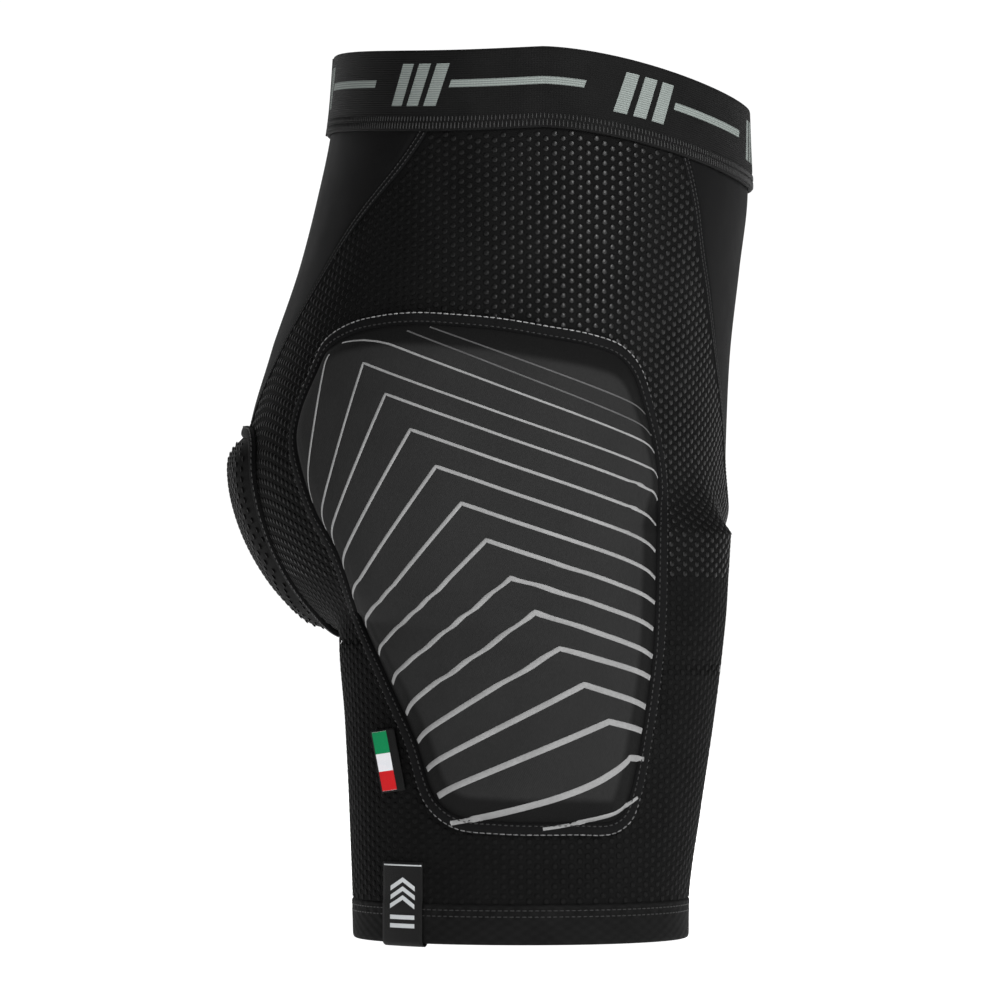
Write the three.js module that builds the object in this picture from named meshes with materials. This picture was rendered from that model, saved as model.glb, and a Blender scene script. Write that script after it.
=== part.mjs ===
// Padded impact shorts, size M, millimetres, +Z up. The wearer faces -Y and the wearer's right is -X.
// The origin is the centre of the waist opening. The shorts are shown filled out, as they are worn.
import * as THREE from 'three';

// ---------------------------------------------------------------- driving dimensions
const HEM_Z = -451;          // bottom edge of both legs
const BAND_HEIGHT = 42;      // width of the waist elastic
const HEM_HEIGHT = 21;       // depth of the turned and stitched leg hem
const FABRIC = 1.6;          // thickness of the body fabrics
const GAP = 0.35;            // clearance between neighbouring pieces
const SEAM_HALF = 2.4;       // half width of a flat seam
const EDGE = SEAM_HALF + 0.8; // distance of a panel's edge from its seam line, clear of the seam's chords
const PAD_BORDER = 7;        // width of the stitched border around a hip pad
const PAD_SLOPE_END = 22;    // distance from the outline at which a hip pad is at full height
const HIP_PAD_HEIGHT = 10.5; // how far a hip pad stands off the fabric
const TAIL_PAD_HEIGHT = 7.5; // how far the tailbone pad stands off the fabric

// Horizontal sections of the pelvis: height, front y, back y, half width.
const PELVIS = [
  [25, -108.5, 107.5, 150.5],
  [-30, -110, 112.5, 153],
  [-60, -110.8, 118.8, 156.5],
  [-100, -106, 129, 161.5],
  [-145, -100.8, 144.5, 166.5],
  [-180, -99.3, 155.5, 170],
  [-205, -99, 159.5, 171.5],
  [-230, -100.3, 155, 172],
  [-260, -99, 140, 171.5],
  [-300, -95, 103, 169.5],
];
const PELVIS_POWER = 2.3;    // exponent of the pelvis sections, 2 would be an ellipse
// Horizontal sections of a leg: height, front y, back y, inner x, outer x.
const LEG = [
  [-470, -77, 97.5, 12, 171.5],
  [-430, -77, 98.5, 11.5, 172.5],
  [-385, -83, 100.5, 10, 173],
  [-340, -89.5, 103, 8.5, 172],
  [-290, -94.5, 105.5, 8, 169.5],
  [-240, -96, 98, 14, 160],
];
// The underside of the pelvis between the legs: y, height.
const CROTCH = [[-115, -215], [-95, -246], [-70, -272], [-35, -288], [10, -294], [60, -297], [110, -299], [170, -299]];
// How far the back dips in between the buttocks: height, depth.
const CLEFT = [[-140, 0], [-200, 3], [-260, 8], [-300, 14]];
const CLEFT_WIDTH = 24;
const CREASE = 8;            // blend between leg and pelvis
const UNDER = 14;            // blend between the pelvis sections and its underside

// Seam lines: height, distance from the middle plane.
const FRONT_SEAM = [[-40, 124], [-65, 118], [-98, 106], [-116, 96], [-153, 72], [-200, 38], [-240, 13.3]];
const BACK_SEAM = [[-22, 139], [-50, 130], [-84, 108], [-127, 79], [-160, 56], [-205, 32], [-246, 13.3]];
const ARCH_FROM = new THREE.Vector3(0, 25, -200); // the gusset's rows fan out from here
const ARCH_DROP = 30;        // each row of the gusset is drawn from a point this far below it
const ARCH_GUSSET = 18.8;    // degrees to the gusset's edge, seen from that point
const ARCH_SEAM = [20, 27.5];
const ARCH_PANEL = 30;
const FRONT_END = [-99.5, -240];  // y and height where the front panel meets the gusset
const BACK_END = [146, -246];     // y and height where the back panel meets the gusset

// Hip pad outline, seen from the side: y, height.
const HIP_OUTLINE = [
  [22, -129], [-3, -133], [-25, -137], [-40, -142.5], [-49, -152], [-56, -172], [-63, -207], [-64, -250],
  [-62, -300], [-56, -345], [-50, -375], [-45, -388], [-36, -394.5], [-15, -395], [22, -394.5], [45, -391.5],
  [59, -380], [70, -348], [82, -320], [95, -289], [109, -250], [119, -232], [127, -210], [130, -194],
  [127, -176], [119, -156], [111, -140], [98, -131.5], [82, -127.5], [64, -126], [44, -127],
];
// Tailbone pad outline, seen from behind, one half: x, height.
const TAIL_OUTLINE = [[0, -183], [35, -184], [62, -186], [75, -195], [79, -215], [76, -240], [66, -264], [44, -284], [18, -293], [0, -294]];

// ---------------------------------------------------------------- the surface of the worn shorts
function spline(rows, t) {
  const sorted = rows[0][0] < rows[1][0] ? rows : [...rows].reverse();
  const last = sorted.length - 1;
  const at = Math.min(Math.max(t, sorted[0][0]), sorted[last][0]);
  let i = 0;
  while (i < last - 1 && at > sorted[i + 1][0]) i += 1;
  const width = sorted[i + 1][0] - sorted[i][0];
  const u = (at - sorted[i][0]) / width;
  const slope = (k, column) => {
    const rise = (a, b) => (sorted[b][column] - sorted[a][column]) / (sorted[b][0] - sorted[a][0]);
    if (k === 0) return rise(0, 1);
    if (k === last) return rise(last - 1, last);
    const before = sorted[k][0] - sorted[k - 1][0];
    const after = sorted[k + 1][0] - sorted[k][0];
    return (rise(k - 1, k) * after + rise(k, k + 1) * before) / (before + after);
  };
  return sorted[i].slice(1).map((start, c) => {
    const end = sorted[i + 1][c + 1];
    const rise = end - start;
    const s0 = slope(i, c + 1) * width;
    const s1 = slope(i + 1, c + 1) * width;
    return start + u * (s0 + u * (3 * rise - 2 * s0 - s1 + u * (s0 + s1 - 2 * rise)));
  });
}

function smoothMin(a, b, blend) {
  const h = Math.max(blend - Math.abs(a - b), 0) / blend;
  return Math.min(a, b) - h * h * blend / 4;
}

// Negative inside the worn shorts, positive outside, close to a distance near the surface.
function field(p, cleft = true) {
  const x = Math.abs(p.x);
  const [front, back, half] = spline(PELVIS, p.z);
  const dip = cleft && p.y > 0 ? spline(CLEFT, p.z)[0] * Math.exp(-((x / CLEFT_WIDTH) ** 2)) : 0;
  const depth = (back - front) / 2;
  const along = Math.abs(p.y + dip - (front + back) / 2) / depth;
  const ratio = ((x / half) ** PELVIS_POWER + along ** PELVIS_POWER) ** (1 / PELVIS_POWER);
  const under = spline(CROTCH, p.y)[0] - p.z;
  const pelvis = -smoothMin(-(ratio - 1) * Math.min(half, depth), -under, UNDER);
  const [legFront, legBack, inner, outer] = spline(LEG, p.z);
  const legHalf = (outer - inner) / 2;
  const legRatio = Math.hypot(
    (x - (inner + outer) / 2) / legHalf,
    (p.y - (legFront + legBack) / 2) / ((legBack - legFront) / 2),
  );
  const leg = (legRatio - 1) * legHalf + Math.max(p.z + 240, 0) / 2;
  return smoothMin(pelvis, leg, CREASE);
}

function normalAt(p, cleft = true) {
  const step = 0.25;
  const slope = (axis) => {
    const a = p.clone();
    const b = p.clone();
    a[axis] += step;
    b[axis] -= step;
    return field(a, cleft) - field(b, cleft);
  };
  return new THREE.Vector3(slope('x'), slope('y'), slope('z')).normalize();
}

// The first point where the line from start crosses the surface.
function cross(start, direction, cleft = true) {
  const unit = direction.clone().normalize();
  const at = (distance) => start.clone().addScaledVector(unit, distance);
  const sign = Math.sign(field(start, cleft));
  const step = 3;
  let near = 0;
  while (field(at(near + step), cleft) * sign > 0) {
    near += step;
    if (near > 500) throw new Error('a line misses the shorts');
  }
  let far = near + step;
  for (let i = 0; i < 30; i += 1) {
    const middle = (near + far) / 2;
    if (field(at(middle), cleft) * sign > 0) near = middle;
    else far = middle;
  }
  return at((near + far) / 2);
}

// The nearest surface point to a point that is already close to it.
function settle(point, cleft = true) {
  const p = point.clone();
  for (let i = 0; i < 10; i += 1) p.addScaledVector(normalAt(p, cleft), -field(p, cleft) * 0.9);
  return p;
}

const seenFromSide = (side, y, z) => cross(new THREE.Vector3(side * 260, y, z), new THREE.Vector3(-side, 0, 0));
const seenFromFront = (x, z) => cross(new THREE.Vector3(x, -220, z), new THREE.Vector3(0, 1, 0));
const seenFromBack = (x, z, cleft) => cross(new THREE.Vector3(x, 260, z), new THREE.Vector3(0, -1, 0), cleft);
const lerp = (a, b, t) => a + (b - a) * t;

// ---------------------------------------------------------------- closed shells
// cell(i, j) gives a surface point, its normal, and the heights of the shell's two faces above it.
function geometryOf(positions, faces) {
  const corner = (k) => new THREE.Vector3(...positions[k]);
  let volume = 0;
  for (const [a, b, c] of faces) volume += corner(a).dot(corner(b).cross(corner(c)));
  const facing = volume < 0 ? faces.map(([a, b, c]) => [a, c, b]) : faces;
  const geometry = new THREE.BufferGeometry();
  geometry.setAttribute('position', new THREE.Float32BufferAttribute(positions.flat(), 3));
  geometry.setIndex(facing.flat());
  geometry.computeVertexNormals();
  return geometry;
}

function lifted({ p, n }, height) {
  return [p.x + n.x * height, p.y + n.y * height, p.z + n.z * height];
}

function quad(faces, a, b, c, d) {
  faces.push([a, b, c], [a, c, d]);
}

function shell(rows, columns, cell, { wrap = false, centre = null } = {}) {
  const positions = [];
  const faces = [];
  for (let i = 0; i < rows; i += 1) {
    for (let j = 0; j < columns; j += 1) {
      const c = cell(i, j);
      positions.push(lifted(c, c.top), lifted(c, c.bottom));
    }
  }
  const top = (i, j) => 2 * (i * columns + (j % columns));
  const bottom = (i, j) => top(i, j) + 1;
  const across = wrap ? columns : columns - 1;
  for (let j = 0; j < across; j += 1) {
    for (let i = 0; i < rows - 1; i += 1) {
      quad(faces, top(i, j), top(i + 1, j), top(i + 1, j + 1), top(i, j + 1));
      quad(faces, bottom(i, j), bottom(i, j + 1), bottom(i + 1, j + 1), bottom(i + 1, j));
    }
    quad(faces, top(0, j), top(0, j + 1), bottom(0, j + 1), bottom(0, j));
    const end = rows - 1;
    if (!centre) quad(faces, top(end, j + 1), top(end, j), bottom(end, j), bottom(end, j + 1));
  }
  for (let i = 0; i < rows - 1 && !wrap; i += 1) {
    const end = columns - 1;
    quad(faces, top(i + 1, 0), top(i, 0), bottom(i, 0), bottom(i + 1, 0));
    quad(faces, top(i, end), top(i + 1, end), bottom(i + 1, end), bottom(i, end));
  }
  if (centre) {
    const high = positions.push(lifted(centre, centre.top)) - 1;
    const low = positions.push(lifted(centre, centre.bottom)) - 1;
    for (let j = 0; j < columns; j += 1) {
      faces.push([top(rows - 1, j), high, top(rows - 1, j + 1)]);
      faces.push([bottom(rows - 1, j + 1), low, bottom(rows - 1, j)]);
    }
  }
  return geometryOf(positions, faces);
}

// ---------------------------------------------------------------- colours
const finish = (color, roughness = 0.85) => new THREE.MeshStandardMaterial({ color, roughness, metalness: 0 });
const KNIT = finish(0x0d0d0e, 0.8);
const MESH = finish(0x141415);
const ELASTIC = finish(0x18181b, 0.75);
const THREAD = finish(0x1c1c1e);
const FOAM = finish(0x3a3a3c, 0.95);
const PAD_COVER = finish(0x2d2d2f, 0.6);
const BINDING = finish(0x19191b, 0.8);
const LABEL = finish(0x0c0c0d, 0.6);
const TAB = finish(0xe6e6ea, 0.7);

const shorts = new THREE.Group();

function add(name, geometry, material) {
  const mesh = new THREE.Mesh(geometry, material);
  mesh.name = name;
  shorts.add(mesh);
}

// ---------------------------------------------------------------- waist
// The waist dips at the front, as a low-rise sports waist does.
function waistTop(y) {
  const share = Math.abs(y) / 111;
  if (y > 0) return 11 + 2.5 * share - 2.5 * Math.sin(Math.PI * Math.min(share, 1));
  return 11 - 27 * share ** 1.6;
}

const bandBottom = (y) => waistTop(y) - BAND_HEIGHT;
const PANEL_TUCK = 8;        // how far the body fabric runs up behind the waist elastic

function waistPoint(angle, heightOf) {
  const direction = new THREE.Vector3(Math.cos(angle), Math.sin(angle), 0);
  let p = cross(new THREE.Vector3(0, 0, heightOf(0)), direction);
  for (let i = 0; i < 4; i += 1) p = cross(new THREE.Vector3(0, 0, heightOf(p.y)), direction);
  return { p, n: normalAt(p).setZ(0).normalize() };
}

function waistRing(heights, columns, bottom, top) {
  return shell(heights.length, columns, (i, j) => (
    { ...waistPoint((2 * Math.PI * j) / columns, heights[i]), top, bottom }
  ), { wrap: true });
}

add('waistband', waistRing([waistTop, (y) => waistTop(y) - 21, bandBottom], 64, 0.8, 2.4), ELASTIC);
add('waist_seam', waistRing([(y) => bandBottom(y) + 7.5, (y) => bandBottom(y) + 0.5], 48, -4.2, -3.4), THREAD);

// ---------------------------------------------------------------- seam lines and panel edges
const angleOf = ([y, z]) => Math.atan2(z - ARCH_FROM.z, y - ARCH_FROM.y);
const ARCH_START = angleOf(FRONT_END) + 2 * Math.PI;
const ARCH_FINISH = angleOf(BACK_END) + 2 * Math.PI;

// A point on the gusset's rows: t runs from the front (0) to the back (1), and degrees across to the right.
function archPoint(side, t, degrees) {
  const turn = lerp(ARCH_START, ARCH_FINISH, t);
  const down = new THREE.Vector3(0, Math.cos(turn), Math.sin(turn));
  const ridge = cross(ARCH_FROM, down);
  const from = ridge.addScaledVector(down, ARCH_DROP);
  const lean = THREE.MathUtils.degToRad(degrees);
  const direction = down.multiplyScalar(-Math.cos(lean)).add(new THREE.Vector3(side * Math.sin(lean), 0, 0));
  return cross(from, direction);
}

// A point beside a seam line: t runs down it, and offset is measured across it, away from the middle plane.
function seamPoint(rows, seen, side, t, offset) {
  const z = lerp(rows[0][0], rows[rows.length - 1][0], t);
  const on = (height) => seen(side * spline(rows, height)[0], height);
  const p = on(z);
  const along = on(z - 1).sub(on(z + 1)).normalize();
  const across = along.cross(normalAt(p)).normalize();
  if (across.x * side < 0) across.negate();
  return settle(p.addScaledVector(across, offset));
}

const frontSeamPoint = (side, t, offset) => seamPoint(FRONT_SEAM, seenFromFront, side, t, offset);
const backSeamPoint = (side, t, offset) => seamPoint(BACK_SEAM, seenFromBack, side, t, offset);

// A flat seam laid over the gap between two panels' edges. edge(t, k) gives its two edges for k = 0 and 1.
function ribbon(steps, edge) {
  return shell(steps + 1, 3, (i, j) => {
    const t = i / steps;
    const p = settle(edge(t, 0).lerp(edge(t, 1), j / 2));
    return { p, n: normalAt(p), top: 0.5, bottom: -FABRIC - 0.3 };
  });
}

function sideSeams(side, name) {
  const front = (t, k) => frontSeamPoint(side, lerp(0.055, 0.985, t), lerp(-SEAM_HALF, SEAM_HALF, k));
  const back = (t, k) => backSeamPoint(side, lerp(0.045, 0.985, t), lerp(-SEAM_HALF, SEAM_HALF, k));
  const gusset = (t, k) => archPoint(side, lerp(0.012, 0.988, t), ARCH_SEAM[k]);
  add(`${name}_front_seam`, ribbon(14, front), THREAD);
  add(`${name}_back_seam`, ribbon(14, back), THREAD);
  add(`${name}_gusset_seam`, ribbon(20, gusset), THREAD);
}

// ---------------------------------------------------------------- front and back panels
function middlePanel(rows, seen, seam, tuckTop) {
  const columns = 15;
  return shell(rows, columns, (i, j) => {
    const t = lerp(0.01, 1, i / (rows - 1));
    const edge = seam(-1, t, -EDGE);
    const u = lerp(-1, 1, j / (columns - 1));
    const x = Math.abs(edge.x) * u;
    const level = tuckTop + (edge.z - tuckTop) * (0.35 + 0.65 * u * u);
    const z = lerp(level, edge.z, Math.min(1, t * 1.5));
    let p = seen(x, z);
    if (i === 0) p = seen(x, Math.min(bandBottom(p.y) + PANEL_TUCK, z + 20));
    return { p, n: normalAt(p), top: 0, bottom: -FABRIC };
  });
}

add('front_panel', middlePanel(11, seenFromFront, frontSeamPoint, -52), KNIT);
add('back_panel', middlePanel(11, (x, z) => seenFromBack(x, z), backSeamPoint, -20), KNIT);

const GUSSET_ROWS = 17;
add('crotch_gusset', shell(GUSSET_ROWS, 7, (i, j) => {
  const p = archPoint(1, lerp(0.006, 0.994, i / (GUSSET_ROWS - 1)), lerp(-ARCH_GUSSET, ARCH_GUSSET, j / 6));
  return { p, n: normalAt(p), top: 0, bottom: -FABRIC };
}), KNIT);

// ---------------------------------------------------------------- side panels, each one the whole leg and hip
const CROTCH_Z = -309;       // lowest row that still ends at the gusset
const INSEAM_TOP = -317;
const HEM_TOP = HEM_Z + HEM_HEIGHT;
const legAxis = (z) => {
  const [front, back, inner, outer] = spline(LEG, z);
  return [lerp(80, (inner + outer) / 2, Math.min(1, Math.max(0, (z + 100) / -140))), (front + back) / 2];
};
const INSEAM_Y = 20;

function inseamPoint(side, z, offset) {
  const [x, y] = legAxis(z);
  const start = new THREE.Vector3(side * x, y, z);
  const p = cross(start, new THREE.Vector3(-side * x, INSEAM_Y - y, 0));
  return cross(start, new THREE.Vector3(p.x - start.x, p.y + offset - start.y, 0));
}

// The panel's front (k = 0) or back (k = 1) edge at a height, found along the seam by halving.
function edgeAt(side, z, k) {
  if (z <= INSEAM_TOP + 0.01) return inseamPoint(side, z, k ? EDGE : -EDGE);
  const rows = k ? BACK_SEAM : FRONT_SEAM;
  const seam = k ? backSeamPoint : frontSeamPoint;
  const endZ = rows[rows.length - 1][0];
  if (z > endZ) return seam(side, (z - rows[0][0]) / (endZ - rows[0][0]), EDGE);
  let high = k ? 1 : 0;
  let low = 0.5;
  for (let i = 0; i < 30; i += 1) {
    const middle = (high + low) / 2;
    if (archPoint(side, middle, ARCH_PANEL).z > z) high = middle;
    else low = middle;
  }
  return archPoint(side, (high + low) / 2, ARCH_PANEL);
}

function sidePanel(side) {
  const columns = 23;
  const upper = 9;
  const heights = [];
  for (let i = 0; i < upper; i += 1) heights.push({ blend: i / (upper - 1), z: -240 });
  for (const z of [-256, -270, -282, -291, -298, -304, CROTCH_Z, INSEAM_TOP]) heights.push({ blend: 1, z });
  for (let i = 1; i <= 5; i += 1) heights.push({ blend: 1, z: lerp(INSEAM_TOP, HEM_TOP + GAP, i / 5) });
  return shell(heights.length, columns, (i, j) => {
    const { blend, z } = heights[i];
    const level = (y) => lerp(bandBottom(y) + PANEL_TUCK, z, blend);
    const ends = [0, 1].map((k) => {
      let p = edgeAt(side, level(k ? 60 : -70), k);
      for (let n = 0; n < 4 && blend < 1; n += 1) p = edgeAt(side, level(p.y), k);
      return p;
    });
    if (j === 0 || j === columns - 1) {
      const p = ends[j === 0 ? 0 : 1];
      return { p, n: normalAt(p), top: 0, bottom: -FABRIC };
    }
    const [from, to] = ends.map((p, k) => {
      const [x, y] = legAxis(p.z);
      const angle = Math.atan2(p.y - y, p.x * side - x);
      if (k === 0 && angle > 0) return angle - 2 * Math.PI;
      return angle;
    });
    const at = lerp(from, to, j / (columns - 1));
    let p = ends[0];
    for (let n = 0; n < 4; n += 1) {
      const height = level(p.y);
      const [x, y] = legAxis(height);
      p = cross(new THREE.Vector3(side * x, y, height), new THREE.Vector3(side * Math.cos(at), Math.sin(at), 0));
    }
    return { p, n: normalAt(p), top: 0, bottom: -FABRIC };
  });
}

function inseam(side) {
  const edge = (t, k) => inseamPoint(side, lerp(INSEAM_TOP + 2, HEM_TOP + 1, t), lerp(-SEAM_HALF, SEAM_HALF, k));
  return ribbon(8, edge);
}

// ---------------------------------------------------------------- leg hems
function legRing(side, heights, columns, bottom, top) {
  return shell(heights.length, columns, (i, j) => {
    const z = heights[i];
    const [x, y] = legAxis(z);
    const angle = (2 * Math.PI * j) / columns;
    const p = cross(new THREE.Vector3(side * x, y, z), new THREE.Vector3(Math.cos(angle), Math.sin(angle), 0));
    return { p, n: normalAt(p).setZ(0).normalize(), top, bottom };
  }, { wrap: true });
}

// ---------------------------------------------------------------- pads
// Rings of points at growing distances in from an outline, on the surface, with the outline's corners rounded off.
function insetRings(outline, distances, cleft) {
  const count = outline.length;
  const wrapAt = (k) => (k + count) % count;
  const inward = outline.map((p, k) => {
    const along = outline[wrapAt(k + 1)].clone().sub(outline[wrapAt(k - 1)]);
    return along.cross(normalAt(p, cleft)).normalize();
  });
  const centre = outline.reduce((sum, p) => sum.add(p), new THREE.Vector3()).divideScalar(count);
  const towards = inward[0].dot(centre.clone().sub(outline[0])) < 0 ? -1 : 1;
  const reach = 3;
  const smooth = inward.map((_, k) => {
    const sum = new THREE.Vector3();
    for (let n = -reach; n <= reach; n += 1) sum.add(inward[wrapAt(k + n)]);
    return sum.normalize().multiplyScalar(towards);
  });
  return distances.map((d) => outline.map((p, k) => settle(p.clone().addScaledVector(smooth[k], d), cleft)));
}

const FILL = [0.28, 0.55, 0.8]; // shares of the way from a pad's shoulder to its middle

function padPieces(name, outline, { height, border, slopeEnd, cleft, coverMaterial }) {
  const count = outline.length;
  const under = 2.1;                 // the backing's chords need this much room over the curved fabric
  const cover = 1;
  const borderTop = under + 1;
  const cell = (ring, top, bottom) => (j) => ({ p: ring[j], n: normalAt(ring[j], cleft), top, bottom });
  const at = (distances) => insetRings(outline, distances, cleft);
  const middle = settle(outline.reduce((sum, p) => sum.add(p), new THREE.Vector3()).divideScalar(count), cleft);
  const inner = (ring, share) => ring.map((p) => settle(p.clone().lerp(middle, share), cleft));

  const [edge0, edge1] = at([0, border]);
  const binding = [cell(edge0, borderTop, under), cell(edge1, borderTop, under)];
  add(`${name}_binding`, shell(2, count, (i, j) => binding[i](j), { wrap: true }), BINDING);

  const [c0, c1, c2, c3] = at([border + GAP, border + 3, lerp(border, slopeEnd, 0.6), slopeEnd]);
  const rise = lerp(borderTop, height, 0.62);
  const face = height + 0.6;
  const coverRows = [
    cell(c0, borderTop, under), cell(c1, borderTop + 0.4, under + 0.4), cell(c2, rise, rise - cover - 0.6),
    cell(c3, height, height - cover), ...FILL.map((share) => cell(inner(c3, share), face, face - cover)),
  ];
  const top = { p: middle, n: normalAt(middle, cleft), top: face, bottom: face - cover };
  add(`${name}_cover`, shell(coverRows.length, count, (i, j) => coverRows[i](j), { wrap: true, centre: top }), coverMaterial);

  const room = 0.5;
  const [f0, f1] = at([lerp(border, slopeEnd, 0.45), slopeEnd + 0.5]);
  const low = lerp(borderTop, height, 0.3) - cover - 0.6 - room;
  const high = height - cover - room;
  const foamRows = [
    cell(f0, Math.max(low, under + 0.8), under),
    ...[0, ...FILL].map((share) => cell(inner(f1, share), high, under)),
  ];
  const core = { p: middle, n: normalAt(middle, cleft), top: high, bottom: under };
  add(`${name.replace('_pad', '')}_foam`, shell(foamRows.length, count, (i, j) => foamRows[i](j), { wrap: true, centre: core }), FOAM);
}

// Points spread evenly along a closed smooth curve through an outline.
function smoothOutline(points, count) {
  const curve = new THREE.CatmullRomCurve3(points.map(([a, b]) => new THREE.Vector3(a, b, 0)), true, 'centripetal');
  return curve.getSpacedPoints(count).slice(0, count);
}

function hipPad(side, name) {
  const outline = smoothOutline(HIP_OUTLINE, 40).map((p) => seenFromSide(side, p.x, p.y));
  padPieces(`${name}_hip_pad`, outline, {
    height: HIP_PAD_HEIGHT, border: PAD_BORDER, slopeEnd: PAD_SLOPE_END, cleft: true, coverMaterial: PAD_COVER,
  });
}

function tailbonePad() {
  const half = TAIL_OUTLINE.slice(1, -1);
  const whole = [...TAIL_OUTLINE, ...half.map(([x, z]) => [-x, z]).reverse()];
  const outline = smoothOutline(whole, 36).map((p) => seenFromBack(p.x, p.y, false));
  padPieces('tailbone_pad', outline, {
    height: TAIL_PAD_HEIGHT, border: 6, slopeEnd: 18, cleft: false, coverMaterial: MESH,
  });
}

// ---------------------------------------------------------------- labels, sewn on the wearer's right leg
// A folded woven tab, sewn into the hip pad's border by its front edge and free to fold out from there.
const TAB_FRONT = [[75.5, -340], [69.5, -372]]; // y and height of the sewn edge's two ends
const TAB_WIDTH = 15;
const TAB_THICKNESS = 0.9;
const TAB_LIFT = 1.4;        // clearance under the tab

function sideLabel() {
  const [upper, lower] = TAB_FRONT.map(([y, z]) => seenFromSide(-1, y, z));
  const n = normalAt(upper.clone().lerp(lower, 0.5));
  const along = lower.clone().sub(upper).normalize();
  const across = n.clone().cross(along).normalize();
  if (across.y < 0) across.negate();
  return shell(2, 2, (i, j) => {
    const p = (i ? lower : upper).clone().addScaledVector(across, j * TAB_WIDTH + 0.5);
    return { p, n, top: TAB_LIFT + TAB_THICKNESS, bottom: TAB_LIFT };
  });
}

// A woven label folded around the hem, from its outer face under the edge to the inside.
const HEM_LABEL_Y = [61, 81];
const HEM_LABEL_TOP = -409;

function hemLabel() {
  // Offset from the fabric and height along the label's middle line, outside to inside.
  const route = [[1.6, HEM_LABEL_TOP], [1.6, -430], [1.6, HEM_Z - 0.6], [0, HEM_Z - 1.6], [-2.4, HEM_Z - 1.6],
    [-3.6, HEM_Z - 0.6], [-3.6, HEM_Z + 12]];
  return shell(route.length, 5, (i, j) => {
    const y = lerp(HEM_LABEL_Y[0], HEM_LABEL_Y[1], j / 4);
    const [offset, z] = route[i];
    const base = seenFromSide(-1, y, Math.max(z, HEM_Z));
    const n = normalAt(base).setZ(0).normalize();
    const p = base.clone().addScaledVector(n, offset).setZ(z);
    const before = route[Math.max(0, i - 1)];
    const after = route[Math.min(route.length - 1, i + 1)];
    const away = new THREE.Vector2(after[0] - before[0], after[1] - before[1]).normalize();
    const normal = n.clone().multiplyScalar(-away.y).setZ(away.x);
    return { p, n: normal, top: 0.35, bottom: -0.35 };
  });
}

// ---------------------------------------------------------------- assembly
for (const [side, name] of [[-1, 'right'], [1, 'left']]) {
  add(`${name}_side_panel`, sidePanel(side), MESH);
  sideSeams(side, name);
  add(`${name}_inseam`, inseam(side), THREAD);
  add(`${name}_leg_hem`, legRing(side, [HEM_TOP, lerp(HEM_TOP, HEM_Z, 0.5), HEM_Z], 32, -FABRIC - 0.6, 0.3), KNIT);
  hipPad(side, name);
}
tailbonePad();
add('side_label', sideLabel(), TAB);
add('hem_label', hemLabel(), LABEL);

export default shorts;
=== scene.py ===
import math

import bpy
import numpy as np
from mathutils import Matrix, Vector
from mathutils.kdtree import KDTree


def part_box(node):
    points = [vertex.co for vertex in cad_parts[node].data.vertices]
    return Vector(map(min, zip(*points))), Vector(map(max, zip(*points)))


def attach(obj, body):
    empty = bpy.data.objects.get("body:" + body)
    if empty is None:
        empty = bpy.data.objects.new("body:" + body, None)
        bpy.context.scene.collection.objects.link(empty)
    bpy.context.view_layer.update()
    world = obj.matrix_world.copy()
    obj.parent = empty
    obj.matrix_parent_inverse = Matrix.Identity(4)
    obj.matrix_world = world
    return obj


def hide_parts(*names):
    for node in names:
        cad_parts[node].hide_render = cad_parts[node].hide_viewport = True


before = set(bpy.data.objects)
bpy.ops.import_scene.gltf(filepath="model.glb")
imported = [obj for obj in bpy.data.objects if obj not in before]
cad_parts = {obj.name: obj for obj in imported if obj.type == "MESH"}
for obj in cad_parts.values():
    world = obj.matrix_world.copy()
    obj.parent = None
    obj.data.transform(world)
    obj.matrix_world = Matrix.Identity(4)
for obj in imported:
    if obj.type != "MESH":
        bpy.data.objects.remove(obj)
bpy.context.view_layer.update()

# ---------------------------------------------------------------- driving dimensions, in millimetres
MM = 0.001                   # the surface below is worked out in millimetres, the pieces are in metres
HEM_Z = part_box("right_leg_hem")[0].z / MM
HEM_HEIGHT = 21
BAND_HEIGHT = 42
FABRIC = 1.6                 # thickness of the body panels
PANEL_TUCK = 8               # how far the body fabric runs up behind the waist elastic
SEAM_HALF = 2.4
SEAM_GAP = SEAM_HALF + 0.2   # from a seam's middle to the panels' edges
PAD_BORDER = 7
HIP_PAD_HEIGHT = 10.5
TAIL_PAD_HEIGHT = 7.5
DOT_PITCH = 5.1              # distance between the mesh fabric's raised dots
DOT_RADIUS = 1.85
DOT_START_Y = 20             # the dots are counted from the outer side of the hip

# Horizontal sections of the pelvis: height, front y, back y, half width.
PELVIS = np.array([
    [25, -108.5, 107.5, 150.5],
    [-30, -110, 112.5, 153],
    [-60, -110.8, 118.8, 156.5],
    [-100, -106, 129, 161.5],
    [-145, -100.8, 144.5, 166.5],
    [-180, -99.3, 155.5, 170],
    [-205, -99, 159.5, 171.5],
    [-230, -100.3, 155, 172],
    [-260, -99, 140, 171.5],
    [-300, -95, 103, 169.5],
], float)
PELVIS_POWER = 2.3
# Horizontal sections of a leg: height, front y, back y, inner x, outer x.
LEG = np.array([
    [-470, -77, 97.5, 12, 171.5],
    [-430, -77, 98.5, 11.5, 172.5],
    [-385, -83, 100.5, 10, 173],
    [-340, -89.5, 103, 8.5, 172],
    [-290, -95.5, 105.5, 8, 169.5],
    [-240, -99, 98, 14, 160],
], float)
# The underside of the pelvis between the legs: y, height.
CROTCH = np.array([[-115, -215], [-95, -246], [-70, -272], [-35, -288], [10, -294], [60, -297], [110, -299],
                   [170, -299]], float)
# How far the back dips in between the buttocks: height, depth.
CLEFT = np.array([[-140, 0], [-200, 3], [-260, 8], [-300, 14]], float)
CLEFT_WIDTH = 24
CREASE = 8                   # blend between leg and pelvis at the inner thigh
OUTER_CREASE = 1.5           # and at the outer side of the hip
UNDER = 14                   # blend between the underside and the sides
UPWARD = np.array([0.0, 0.0, 1.0])
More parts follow.
